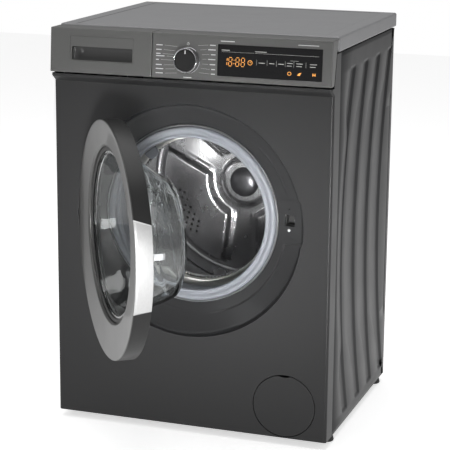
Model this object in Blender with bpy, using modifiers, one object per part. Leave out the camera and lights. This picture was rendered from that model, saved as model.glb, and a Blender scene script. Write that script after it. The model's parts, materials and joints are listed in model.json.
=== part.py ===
"""Front load washing machine, 845 x 597 x 527 mm, with its door open.

Metres, +Z up, the front towards -Y. The floor is z = 0. Every piece hangs from the empty
"machine", whose origin lies on the floor in the plane of the front panel.
"""

import math

import bmesh
import bpy
import numpy as np
from mathutils import Matrix, Vector

# ---------------------------------------------------------------- overall sizes
WIDTH = 0.597
HEIGHT = 0.845
CABINET_BACK = 0.485
FRONT_PLANE_Y = -0.0590
GAP = 0.0004
SHEET = 0.0012
SIDE_SHEET = 0.0010

GROUND_CLEARANCE = 0.016
WORKTOP_THICKNESS = 0.0305
WORKTOP_FRONT = 0.031
WORKTOP_BACK = CABINET_BACK + 0.021
SIDE_FLANGE = 0.045

HALF = WIDTH / 2
WORKTOP_Z = HEIGHT - WORKTOP_THICKNESS
SIDE_TOP = WORKTOP_Z - 0.001
SIDE_FRONT = SIDE_FLANGE + 3 * GAP

# ---------------------------------------------------------------- front panel and control panel
FASCIA_HEIGHT = 0.090
FASCIA_TOP = HEIGHT - 0.003
FASCIA_BOTTOM = FASCIA_TOP - FASCIA_HEIGHT
PANEL_TOP = FASCIA_BOTTOM - 0.021
LIP_OUT = 0.015
LIP_BOTTOM = FASCIA_BOTTOM - 0.010
LIP_TOP = FASCIA_BOTTOM - 0.004
FASCIA_FOOT_OUT = 0.021
FASCIA_HEAD_OUT = 0.014
FASCIA_WALL = 0.003
FASCIA_BACK_TOP = 0.0208
SHELF_Z = FASCIA_TOP - 0.0035
DRAWER_WIDTH = 0.2229
DRAWER_SEAM_X = DRAWER_WIDTH - HALF
DRAWER_SEAM = 0.0012

KNOB_X = 0.001
KNOB_HEIGHT = FASCIA_BOTTOM + 0.038
KNOB_R = 0.0217
KNOB_RING_R = KNOB_R + 0.0033
KNOB_FOOT_R = KNOB_RING_R + 0.0015
KNOB_OUT = 0.018
KNOB_STEM_R = 0.0060

GLASS_X0 = 0.0633
GLASS_X1 = HALF - 0.0205
GLASS_Z0 = FASCIA_BOTTOM + 0.011
GLASS_Z1 = GLASS_Z0 + 0.062
GLASS_THICKNESS = 0.0020

HANDLE_X0 = 0.0475 - HALF
HANDLE_X1 = HANDLE_X0 + 0.1336
HANDLE_Z0 = FASCIA_BOTTOM + 0.025
HANDLE_Z1 = HANDLE_Z0 + 0.029
HANDLE_DEPTH = 0.017

# ---------------------------------------------------------------- recess and door ring
RING_X = -0.005
RING_Z = 0.455
# ---------------------------------------------------------------- glass, gasket, drum: one axis
AXIS_X = RING_X - 0.0048
AXIS_Z = RING_Z + 0.0088
BIG_STEPS = 40
TUB_STEPS = 36

GASKET_R = 0.1830
GASKET_LIP_R = 0.1600
GASKET_BACK_R = 0.1650
CLAMP_R = GASKET_R + 0.0026
CLAMP_WIRE = 0.0012

DOOR_R = 0.236
RECESS_R = DOOR_R + 0.0073
RECESS_DEPTH = 0.013
DISH_INNER_R = CLAMP_R + 0.0027
DISH_INNER_Y = 0.036

DOOR_FRONT = -0.025
DOOR_BACK = 0.010
DOOR_WALL = 0.003
WINDOW_R = 0.173
BOWL_RIM_R = WINDOW_R + 0.0075
BOWL_NECK_R = 0.162
BOWL_BASE_R = 0.107
BOWL_DEPTH = 0.112
BOWL_DROP = 0.013
BOWL_WALL = 0.004
DOOR_ANGLE = 53.4
HINGE_X = -0.226
HINGE_Y = -0.015
HINGE_HALF = 0.022
ARM_LENGTH = AXIS_X - BOWL_RIM_R - HINGE_X - 0.0027
PIN_R = 0.0032
TRIM_OUT = 0.0032
TRIM_FROM = -26
TRIM_TO = 24

LATCH_X = 0.2054
LATCH_Z = 0.4708
LATCH_HOLE = 0.024

DRUM_R = 0.240
TUB_R = DRUM_R + 0.022
TUB_WALL = 0.004
TUB_FRONT = 0.097
TUB_SPLIT = 0.255
TUB_BACK = 0.422
TUB_NECK_R = 0.156
TUB_NECK_Y = 0.086
TUB_TRAVEL = 0.006

DRUM_FRONT = TUB_FRONT + 0.009
DRUM_BACK = 0.390
DRUM_MOUTH_R = 0.1505
DRUM_SHEET = 0.0012
LIFTERS = 3
LIFTER_HEIGHT = 0.046
LIFTER_LENGTH = 0.240
LIFTER_ANGLE = 28

SHAFT_R = 0.0125
PULLEY_R = 0.1460
PULLEY_Y = 0.441
MOTOR_PULLEY_R = 0.0120
MOTOR_Z = 0.105
MOTOR_R = 0.054
BELT = 0.0018

SUSPENSION_Y = 0.300
SPRING_X = TUB_R
SPRING_TOP = HEIGHT - 0.0455
SPRING_FOOT = AXIS_Z + 0.0967
SPRING_COIL_R = 0.0115
SPRING_WIRE_R = 0.0016
DAMPER_X = TUB_R - 0.0895
DAMPER_ROD_R = 0.009
DAMPER_R = 0.0135

# ---------------------------------------------------------------- base, feet, service parts
TRAY_X = HALF - 0.0060
TRAY_FRONT = 0.0480
TRAY_BACK = CABINET_BACK - 0.0030
TRAY_FLOOR = 0.0170
TRAY_TOP = 0.0330
FOOT_X = HALF - 0.0175
FOOT_FRONT_Y = 0.062
FOOT_BACK_Y = CABINET_BACK - 0.030
FOOT_R = 0.0170
FOOT_STUD_R = 0.0042

COVER_X = 0.2069
COVER_Z = 0.0850
COVER_R = 0.0660
COVER_GAP = 0.0009
COVER_HINGE_Z = COVER_Z - COVER_R + 0.0045
PUMP_BORE_R = 0.0260
PUMP_R = 0.0310

SERVICE_R = 0.165

RIB_PITCH = 0.102
RIB_FIRST = 0.0885
RIB_COUNT = 4
RIB_BOW = 0.56
RIB_MID_Z = 0.41
RIB_BOTTOM = 0.034
RIB_TOP = HEIGHT - 0.063
RIB_DEPTH = 0.004

TILT = math.atan2(FASCIA_FOOT_OUT - FASCIA_HEAD_OUT, FASCIA_TOP - FASCIA_BOTTOM)
PANEL_LENGTH = math.hypot(FASCIA_FOOT_OUT - FASCIA_HEAD_OUT, FASCIA_TOP - FASCIA_BOTTOM)

# ---------------------------------------------------------------- scene and materials
for old in list(bpy.data.objects):
    bpy.data.objects.remove(old, do_unlink=True)

scene = bpy.context.scene
body = bpy.data.collections.new("washing_machine")
cutters = bpy.data.collections.new("cutters")
scene.collection.children.link(body)
scene.collection.children.link(cutters)


def material(name, colour, roughness, metallic):
    found = bpy.data.materials.get(name)
    if found:
        return found
    made = bpy.data.materials.new(name)
    made.use_nodes = True
    shader = made.node_tree.nodes["Principled BSDF"]
    shader.inputs["Base Color"].default_value = (*colour, 1)
    shader.inputs["Roughness"].default_value = roughness
    shader.inputs["Metallic"].default_value = metallic
    made.diffuse_color = (*colour, 1)
    return made


GRAPHITE = material("graphite_paint", (0.045, 0.045, 0.046), 0.35, 0.3)
SIDE_GREY = material("side_paint", (0.10, 0.10, 0.103), 0.42, 0.2)
TOP_GREY = material("worktop_plastic", (0.20, 0.20, 0.205), 0.45, 0.0)
FASCIA_GREY = material("fascia_plastic", (0.11, 0.11, 0.108), 0.42, 0.0)
BLACK_GLOSS = material("black_gloss", (0.006, 0.006, 0.007), 0.08, 0.0)
BLACK_PLASTIC = material("black_plastic", (0.02, 0.02, 0.02), 0.5, 0.0)
CHROME = material("chrome", (0.8, 0.8, 0.8), 0.12, 1.0)
GASKET_GREY = material("gasket_rubber", (0.42, 0.45, 0.49), 0.55, 0.0)
STEEL = material("stainless", (0.55, 0.55, 0.55), 0.25, 1.0)
ZINC = material("zinc_steel", (0.45, 0.46, 0.47), 0.4, 1.0)
GLASS = material("clear_glass", (0.75, 0.78, 0.78), 0.05, 0.0)
DOOR_GREY = material("door_grey", (0.19, 0.19, 0.19), 0.4, 0.3)
TRIM_METAL = material("handle_metal", (0.5, 0.5, 0.5), 0.3, 0.9)
TUB_PLASTIC = material("tub_plastic", (0.55, 0.55, 0.53), 0.6, 0.0)
WHITE_PLASTIC = material("white_plastic", (0.7, 0.7, 0.68), 0.5, 0.0)
CONCRETE = material("concrete", (0.35, 0.34, 0.33), 0.9, 0.0)
CAST = material("cast_aluminium", (0.4, 0.4, 0.41), 0.5, 0.9)
RUBBER = material("black_rubber", (0.015, 0.015, 0.015), 0.8, 0.0)


# ---------------------------------------------------------------- building helpers
def empty(name, parent=None, location=(0, 0, 0), rotation=(0, 0, 0)):
    made = bpy.data.objects.new(name, None)
    made.empty_display_size = 0.03
    made.location = location
    made.rotation_euler = rotation
    made.parent = parent
    body.objects.link(made)
    return made


def add(name, mesh, skin, parent, location=(0, 0, 0), rotation=(0, 0, 0)):
    made = bpy.data.objects.new(name, mesh)
    made.location = location
    made.rotation_euler = rotation
    made.parent = parent
    if skin is None:
        made.hide_render = True
        made.display_type = "WIRE"
        cutters.objects.link(made)
    else:
        mesh.materials.append(skin)
        body.objects.link(made)
    return made


def to_mesh(bm, name, smooth=True):
    mesh = bpy.data.meshes.new(name)
    bmesh.ops.recalc_face_normals(bm, faces=bm.faces)
    bm.to_mesh(mesh)
    bm.free()
    if smooth:
        mesh.shade_smooth()
        mesh.set_sharp_from_angle(angle=math.radians(32))
    return mesh


def box(name, low, high, skin, parent, bevel=0.0, segments=2):
    low = Vector(low)
    high = Vector(high)
    bm = bmesh.new()
    bmesh.ops.create_cube(bm, size=1.0)
    bmesh.ops.scale(bm, vec=high - low, verts=bm.verts)
    if bevel:
        bmesh.ops.bevel(
            bm, geom=list(bm.edges), offset=bevel, segments=segments, affect="EDGES", profile=0.5
        )
    return add(name, to_mesh(bm, name), skin, parent, location=(low + high) / 2)


def cylinder(name, radius, start, end, skin, parent, steps=24):
    """A straight round bar from one point to another."""
    start = Vector(start)
    end = Vector(end)
    run = end - start
    bm = bmesh.new()
    bmesh.ops.create_cone(
        bm, cap_ends=True, segments=steps, radius1=radius, radius2=radius, depth=run.length
    )
    turn = run.to_track_quat("Z", "Y").to_euler()
    return add(name, to_mesh(bm, name), skin, parent, (start + end) / 2, turn)


def turned(name, profile, skin, parent, location=(0, 0, 0), along="Y", steps=BIG_STEPS):
    """A profile of (radius, distance along the axis) points, turned round the axis.

    A profile whose ends lie on the axis stays open; any other one is a closed loop.
    """
    points = [Vector((r, 0, h)) for r, h in profile]
    area = sum(a.x * b.z - b.x * a.z for a, b in zip(points, points[1:] + points[:1]))
    if area > 0:
        points.reverse()
    solid = points[0].x < 1e-9 and points[-1].x < 1e-9
    count = len(points)
    edges = [(i, (i + 1) % count) for i in range(count - 1 if solid else count)]
    mesh = bpy.data.meshes.new(name)
    mesh.from_pydata(points, edges, [])
    turn = {"Y": (-math.pi / 2, 0, 0), "Z": (0, 0, 0)}[along]
    made = add(name, mesh, skin, parent, location, turn)
    screw = made.modifiers.new("turn", "SCREW")
    screw.steps = steps
    screw.render_steps = steps
    screw.use_merge_vertices = True
    screw.merge_threshold = 0.00002
    screw.use_smooth_shade = True
    return made


def plate(name, outlines, thickness, skin, parent, location=(0, 0, 0), rotation=(0, 0, 0)):
    """Flat outlines in the local XY plane, the first one outside and the rest holes, made
    into a solid of the given thickness about that plane."""
    curve = bpy.data.curves.new(name, "CURVE")
    curve.dimensions = "2D"
    curve.fill_mode = "BOTH"
    curve.extrude = thickness / 2
    for outline in outlines:
        spline = curve.splines.new("POLY")
        spline.points.add(len(outline) - 1)
        for point, (x, y) in zip(spline.points, outline):
            point.co = (x, y, 0, 1)
        spline.use_cyclic_u = True
    holder = bpy.data.objects.new(name + "_curve", curve)
    scene.collection.objects.link(holder)
    bpy.context.view_layer.update()
    graph = bpy.context.evaluated_depsgraph_get()
    flat = bpy.data.meshes.new_from_object(holder.evaluated_get(graph))
    bpy.data.objects.remove(holder, do_unlink=True)
    bm = bmesh.new()
    bm.from_mesh(flat)
    bpy.data.meshes.remove(flat)
    bmesh.ops.remove_doubles(bm, verts=bm.verts, dist=0.00001)
    return add(name, to_mesh(bm, name), skin, parent, location, rotation)


SIDEWAYS = (math.pi / 2, 0, math.pi / 2)
UPRIGHT = (math.pi / 2, 0, 0)


def prism(name, outline, x0, x1, skin, parent):
    """An outline of (y, z) points carried straight along x."""
    return plate(name, [outline], x1 - x0, skin, parent, ((x0 + x1) / 2, 0, 0), SIDEWAYS)


def upright(name, outlines, y0, y1, skin, parent, x=0.0, z=0.0):
    """Outlines of (x, z) points carried straight along y."""
    return plate(name, outlines, y1 - y0, skin, parent, (x, (y0 + y1) / 2, z), UPRIGHT)


def cut(target, tool, operation="DIFFERENCE"):
    change = target.modifiers.new(operation.lower(), "BOOLEAN")
    change.operation = operation
    change.object = tool
    change.solver = "EXACT"
    return target


def loft(name, rings, skin, parent, location=(0, 0, 0), rotation=(0, 0, 0), closed=False):
    """Skins a row of equal rings of points; the row is capped, or closed on itself."""
    bm = bmesh.new()
    rows = [[bm.verts.new(p) for p in ring] for ring in rings]
    count = len(rows[0])
    pairs = list(zip(rows, rows[1:]))
    if closed:
        pairs.append((rows[-1], rows[0]))
    for first, second in pairs:
        for i in range(count):
            j = (i + 1) % count
            bm.faces.new((first[i], first[j], second[j], second[i]))
    if not closed:
        bm.faces.new(rows[0])
        bm.faces.new(rows[-1][::-1])
    return add(name, to_mesh(bm, name), skin, parent, location, rotation)


def circle(radius, steps, cx=0.0, cy=0.0):
    return [
        (
            cx + radius * math.cos(2 * math.pi * i / steps),
            cy + radius * math.sin(2 * math.pi * i / steps),
        )
        for i in range(steps)
    ]


def eccentric(name, profile, skin, parent):
    """A closed loop of (radius, y, share) points carried round the door ring's axis. A share
    of 1 centres that circle on the glass and drum instead, and 0 leaves it on the ring."""
    rings = []
    for radius, y, share in profile:
        cx = share * (AXIS_X - RING_X)
        cz = share * (AXIS_Z - RING_Z)
        rings.append([(x, y, z) for x, z in circle(radius, BIG_STEPS, cx, cz)])
    return loft(name, rings, skin, parent, closed=True)


def rounded(x0, y0, x1, y1, radius, steps=4):
    """A rectangle with round corners, as a list of points."""
    points = []
    for cx, cy, start in (
        (x1 - radius, y0 + radius, -90),
        (x1 - radius, y1 - radius, 0),
        (x0 + radius, y1 - radius, 90),
        (x0 + radius, y0 + radius, 180),
    ):
        for i in range(steps + 1):
            angle = math.radians(start + 90 * i / steps)
            points.append((cx + radius * math.cos(angle), cy + radius * math.sin(angle)))
    return points


machine = empty("machine", location=(0, FRONT_PLANE_Y, 0))
ring_axis = empty("ring_axis", machine, (RING_X, 0, RING_Z))
main_axis = empty("main_axis", machine, (AXIS_X, 0, AXIS_Z))
panel_face = empty("panel_face", machine, (0, -FASCIA_FOOT_OUT, FASCIA_BOTTOM), (-TILT, 0, 0))


def on_panel(z):
    """Distance up the slanted control panel of a height above the floor."""
    return (z - FASCIA_BOTTOM) / math.cos(TILT)


# ---------------------------------------------------------------- front panel
def front_panel():
    """Folded sheet: flat front, two side flanges, a bottom flange and the bent top lip."""
    slant_y = 0.0158
    outline = [
        (SIDE_FLANGE, GROUND_CLEARANCE),
        (0, GROUND_CLEARANCE),
        (0, PANEL_TOP),
        (-LIP_OUT, LIP_BOTTOM),
        (-LIP_OUT, LIP_TOP),
        (0.0011, LIP_TOP),
        (slant_y, SIDE_TOP),
        (SIDE_FLANGE, SIDE_TOP),
    ]
    bm = bmesh.new()
    sides = [[bm.verts.new((x, y, z)) for y, z in outline] for x in (-HALF, HALF)]
    count = len(outline)
    bm.faces.new(sides[0])
    bm.faces.new(sides[1][::-1])
    walls = []
    for i in range(count):
        j = (i + 1) % count
        walls.append(bm.faces.new((sides[0][i], sides[1][i], sides[1][j], sides[0][j])))
    bmesh.ops.recalc_face_normals(bm, faces=bm.faces)
    open_faces = [walls[4], walls[5], walls[6], walls[7]]
    corners = [
        edge
        for side in sides
        for i, j in ((1, 2), (2, 3), (3, 4))
        for edge in bm.edges
        if set(edge.verts) == {side[i], side[j]}
    ]
    bmesh.ops.delete(bm, geom=open_faces, context="FACES")
    bmesh.ops.bevel(bm, geom=corners, offset=0.005, segments=3, affect="EDGES", profile=0.5)
    mesh = bpy.data.meshes.new("front_panel")
    bm.to_mesh(mesh)
    bm.free()
    made = add("front_panel", mesh, GRAPHITE, machine)
    shell = made.modifiers.new("sheet", "SOLIDIFY")
    shell.thickness = SHEET
    shell.offset = -1
    shell.use_even_offset = True
    hole = cylinder(
        "cut_door_hole",
        RECESS_R,
        (RING_X, -0.010, RING_Z),
        (RING_X, 0.010, RING_Z),
        None,
        machine,
        BIG_STEPS,
    )
    cut(made, hole)
    rim = RECESS_R - 0.0003
    inner = [
        (rim, 0.0003, 0),
        (rim - 0.0035, RECESS_DEPTH, 0),
        (DISH_INNER_R, DISH_INNER_Y, 1),
        (DISH_INNER_R, DISH_INNER_Y + 0.008, 1),
    ]
    outer = [
        (DISH_INNER_R + SHEET, DISH_INNER_Y + 0.008, 1),
        (DISH_INNER_R + SHEET, DISH_INNER_Y + 0.0010, 1),
        (rim - 0.0024, RECESS_DEPTH + 0.0012, 0),
        (rim + 0.0010, 0.0009, 0),
        (rim + 0.0020, 0.0009, 0),
        (rim + 0.0020, 0.0003, 0),
    ]
    dish = eccentric("join_dish", inner + outer, None, ring_axis)
    latch = box(
        "cut_latch",
        (LATCH_X - LATCH_HOLE / 2, 0.008, LATCH_Z - LATCH_HOLE / 2),
        (LATCH_X + LATCH_HOLE / 2, 0.045, LATCH_Z + LATCH_HOLE / 2),
        None,
        machine,
    )
    cut(dish, latch)
    cover = cylinder(
        "cut_cover",
        COVER_R + COVER_GAP,
        (COVER_X, -0.010, COVER_Z),
        (COVER_X, 0.010, COVER_Z),
        None,
        machine,
        40,
    )
    cut(made, cover)
    cut(made, dish, "UNION")


# ---------------------------------------------------------------- side, back and base
def rib_line(index, z):
    return RIB_FIRST + index * RIB_PITCH + RIB_BOW * (z - RIB_MID_Z) ** 2


def side_panel(name, side):
    """Sheet with four bowed pockets: each one ramps in from its front edge and steps
    straight out again at its rear line."""
    rows = (TRAY_FLOOR - 0.0005, RIB_BOTTOM, 0.052, 0.145, 0.27, 0.41, 0.55)
    rows = rows + (RIB_TOP - 0.102, RIB_TOP - 0.017, RIB_TOP, SIDE_TOP)
    bm = bmesh.new()
    grid = []
    for z in rows:
        pressed = RIB_DEPTH if RIB_BOTTOM < z < RIB_TOP else 0.0
        near_end = z < 0.16 or z > RIB_TOP - 0.112
        columns = [(HALF - 0.014, SIDE_FRONT), (HALF, SIDE_FRONT)]
        for index in range(RIB_COUNT):
            line = rib_line(index, z)
            if near_end:
                start = line - 0.040
            elif index:
                start = rib_line(index - 1, z) + 0.020
            else:
                start = 0.058
            columns += [(HALF, start), (HALF - pressed, line - 0.003), (HALF, line + 0.001)]
        columns += [(HALF, CABINET_BACK), (HALF - 0.020, CABINET_BACK)]
        grid.append([bm.verts.new((side * x, y, z)) for x, y in columns])
    for low, high in zip(grid, grid[1:]):
        for i in range(len(low) - 1):
            face = (low[i], low[i + 1], high[i + 1], high[i])
            bm.faces.new(face if side > 0 else face[::-1])
    mesh = bpy.data.meshes.new(name)
    bm.to_mesh(mesh)
    bm.free()
    mesh.shade_smooth()
    mesh.set_sharp_from_angle(angle=math.radians(30))
    made = add(name, mesh, SIDE_GREY, machine)
    shell = made.modifiers.new("sheet", "SOLIDIFY")
    shell.thickness = SIDE_SHEET
    shell.offset = -1
    return made


def back_and_base():
    back_y = CABINET_BACK - SIDE_SHEET - GAP
    outline = rounded(-HALF + 0.002, TRAY_FLOOR, HALF - 0.002, SIDE_TOP - 0.001, 0.003, 1)
    holes = [
        circle(0.148, TUB_STEPS, AXIS_X, AXIS_Z),
        circle(INLET_R + 0.0012, 20, INLET_X, INLET_Z),
        circle(DRAIN_R + 0.0012, 20, DRAIN_X, DRAIN_Z),
        circle(GLAND_R + 0.0012, 20, GLAND_X, GLAND_Z),
    ]
    upright("back_panel", [outline] + holes, back_y - SHEET, back_y, ZINC, machine)
    flange = back_y + GAP
    dome = [
        (0, flange + 0.0100),
        (0.1400, flange + 0.0100),
        (0.1470, flange + 0.0010),
        (SERVICE_R, flange + 0.0010),
        (SERVICE_R, flange),
        (0.1462, flange),
        (0.1392, flange + 0.0090),
        (0, flange + 0.0090),
    ]
    turned("service_cover", dome, ZINC, main_axis, steps=TUB_STEPS)

    bm = bmesh.new()
    bmesh.ops.create_cube(bm, size=1.0)
    size = (2 * TRAY_X, TRAY_BACK - TRAY_FRONT, TRAY_TOP - TRAY_FLOOR)
    bmesh.ops.scale(bm, vec=size, verts=bm.verts)
    lid = [face for face in bm.faces if face.normal.z > 0.5]
    bmesh.ops.delete(bm, geom=lid, context="FACES_ONLY")
    mesh = bpy.data.meshes.new("base_tray")
    bm.to_mesh(mesh)
    bm.free()
    middle = (0, (TRAY_FRONT + TRAY_BACK) / 2, (TRAY_FLOOR + TRAY_TOP) / 2)
    tray = add("base_tray", mesh, BLACK_PLASTIC, machine, middle)
    shell = tray.modifiers.new("wall", "SOLIDIFY")
    shell.thickness = 0.0025
    shell.offset = -1
    shell.use_even_offset = True
    for tag, x, y in foot_places():
        hole = cylinder(
            "cut_foot_" + tag,
            FOOT_STUD_R + 0.0010,
            (x, y, TRAY_FLOOR - 0.005),
            (x, y, TRAY_FLOOR + 0.010),
            None,
            machine,
            16,
        )
        cut(tray, hole)


def foot_places():
    return (
        ("front_left", -FOOT_X, FOOT_FRONT_Y),
        ("front_right", FOOT_X, FOOT_FRONT_Y),
        ("rear_left", -FOOT_X, FOOT_BACK_Y),
        ("rear_right", FOOT_X, FOOT_BACK_Y),
    )


def feet():
    """Round black pads on threaded studs."""
    profile = [
        (0, 0.045),
        (FOOT_STUD_R, 0.045),
        (FOOT_STUD_R, 0.0120),
        (0.0120, 0.0115),
        (0.0150, 0.0095),
        (FOOT_R, 0.0020),
        (FOOT_R - 0.0015, 0.0),
        (0, 0.0),
    ]
    for tag, x, y in foot_places():
        turned("foot_" + tag, profile, BLACK_PLASTIC, machine, (x, y, 0), "Z", 16)


# ---------------------------------------------------------------- worktop
def worktop():
    frame = box(
        "worktop_frame",
        (-HALF, WORKTOP_FRONT, WORKTOP_Z),
        (HALF, WORKTOP_BACK, HEIGHT),
        TOP_GREY,
        machine,
        bevel=0.004,
    )
    board_x = HALF - 0.0325
    board_front = WORKTOP_FRONT + 0.0075
    board_back = WORKTOP_BACK - 0.0230
    pocket = box(
        "cut_board",
        (-board_x, board_front, WORKTOP_Z + 0.0095),
        (board_x, board_back, HEIGHT + 0.010),
        None,
        machine,
    )
    cut(frame, pocket)
    hollow = box(
        "cut_underside",
        (-HALF + 0.0110, WORKTOP_FRONT + 0.0110, WORKTOP_Z - 0.010),
        (HALF - 0.0110, WORKTOP_BACK - 0.0110, WORKTOP_Z + 0.0055),
        None,
        machine,
    )
    cut(frame, hollow)
    box(
        "worktop_board",
        (-board_x + GAP, board_front + GAP, WORKTOP_Z + 0.0095 + GAP),
        (board_x - GAP, board_back - GAP, HEIGHT - 0.0007),
        TOP_GREY,
        machine,
        bevel=0.0012,
        segments=1,
    )


def top_brace():
    """Channel across the cabinet that the tub springs hang from."""
    y0 = SUSPENSION_Y - 0.016
    y1 = SUSPENSION_Y + 0.016
    top = WORKTOP_Z - 0.0015
    foot = SPRING_TOP + 0.0003
    wall = 0.0020
    outline = [
        (y0, foot),
        (y1, foot),
        (y1, top),
        (y1 - wall, top),
        (y1 - wall, foot + wall),
        (y0 + wall, foot + wall),
        (y0 + wall, top),
        (y0, top),
    ]
    prism("top_brace", outline, -HALF + 0.0065, HALF - 0.0065, ZINC, machine)


# ---------------------------------------------------------------- control panel
def fascia_outline():
    return [
        (-FASCIA_FOOT_OUT, FASCIA_BOTTOM),
        (0.0003, FASCIA_BOTTOM),
        (FASCIA_BACK_TOP, SHELF_Z),
        (WORKTOP_FRONT - 0.0006, SHELF_Z),
        (WORKTOP_FRONT - 0.0006, FASCIA_TOP),
        (-FASCIA_HEAD_OUT, FASCIA_TOP),
    ]


def control_fascia():
    x0 = DRAWER_SEAM_X + DRAWER_SEAM / 2
    x1 = HALF - 0.0003
    fascia = prism("control_fascia", fascia_outline(), x0, x1, FASCIA_GREY, machine)
    inner = [
        (-FASCIA_FOOT_OUT + 0.0032, FASCIA_BOTTOM + 0.0025),
        (0.0400, FASCIA_BOTTOM + 0.0025),
        (0.0400, SHELF_Z - 0.0005),
        (-FASCIA_HEAD_OUT + 0.0028, SHELF_Z - 0.0005),
    ]
    cut(fascia, prism("cut_fascia", inner, x0 + 0.0025, x1 - 0.0025, None, machine))
    pocket = box(
        "cut_display",
        (GLASS_X0 - GAP, -0.010, on_panel(GLASS_Z0) - GAP),
        (GLASS_X1 + GAP, GLASS_THICKNESS, on_panel(GLASS_Z1) + GAP),
        None,
        panel_face,
    )
    cut(fascia, pocket)
    stem_hole = cylinder(
        "cut_knob_hole",
        KNOB_STEM_R + 0.0012,
        (KNOB_X, -0.010, on_panel(KNOB_HEIGHT)),
        (KNOB_X, 0.012, on_panel(KNOB_HEIGHT)),
        None,
        panel_face,
    )
    cut(fascia, stem_hole)
    box(
        "display_glass",
        (GLASS_X0, 0.0, on_panel(GLASS_Z0)),
        (GLASS_X1, GLASS_THICKNESS - GAP, on_panel(GLASS_Z1)),
        BLACK_GLOSS,
        panel_face,
        bevel=0.0003,
        segments=1,
    )


def knob():
    """Program knob: a dark turned cap inside a bright ring, on a stem through the fascia."""
    centre = (KNOB_X, 0, on_panel(KNOB_HEIGHT))
    cap = [
        (0, -KNOB_OUT + 0.0010),
        (KNOB_R - 0.0035, -KNOB_OUT + 0.0010),
        (KNOB_R - 0.0010, -KNOB_OUT + 0.0018),
        (KNOB_R, -KNOB_OUT + 0.0040),
        (KNOB_R, -0.0012),
        (KNOB_STEM_R, -0.0012),
        (KNOB_STEM_R, 0.0110),
        (0, 0.0110),
    ]
    turned("program_knob", cap, BLACK_PLASTIC, panel_face, centre, "Y", 32)
    inner = KNOB_R + GAP
    ring = [
        (inner, -KNOB_OUT + 0.0045),
        (inner + 0.0008, -KNOB_OUT + 0.0012),
        (KNOB_RING_R - 0.0010, -KNOB_OUT),
        (KNOB_RING_R, -KNOB_OUT + 0.0014),
        (KNOB_RING_R + 0.0003, -0.0030),
        (KNOB_FOOT_R, -0.0024),
        (KNOB_FOOT_R, -0.0008),
        (inner, -0.0008),
    ]
    turned("knob_ring", ring, CHROME, panel_face, centre, "Y", 32)
    switch = box(
        "selector_switch",
        (KNOB_X - 0.016, 0.0046, on_panel(KNOB_HEIGHT) - 0.016),
        (KNOB_X + 0.016, 0.0170, on_panel(KNOB_HEIGHT) + 0.016),
        WHITE_PLASTIC,
        panel_face,
    )
    bore = cylinder(
        "cut_switch_bore",
        KNOB_STEM_R + 0.0006,
        (KNOB_X, 0.0, on_panel(KNOB_HEIGHT)),
        (KNOB_X, 0.0130, on_panel(KNOB_HEIGHT)),
        None,
        panel_face,
    )
    cut(switch, bore)


# ---------------------------------------------------------------- detergent drawer
TRAY_BOX_X0 = 0.0235 - HALF
TRAY_BOX_X1 = DRAWER_SEAM_X - 0.0194
TRAY_BOX_Y0 = 0.0226
TRAY_BOX_Y1 = 0.2500
TRAY_BOX_Z0 = FASCIA_BOTTOM + 0.0050
TRAY_BOX_Z1 = TRAY_BOX_Z0 + 0.0460
HOUSING_WALL = 0.0025
SLIDE_GAP = 0.0012


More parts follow.
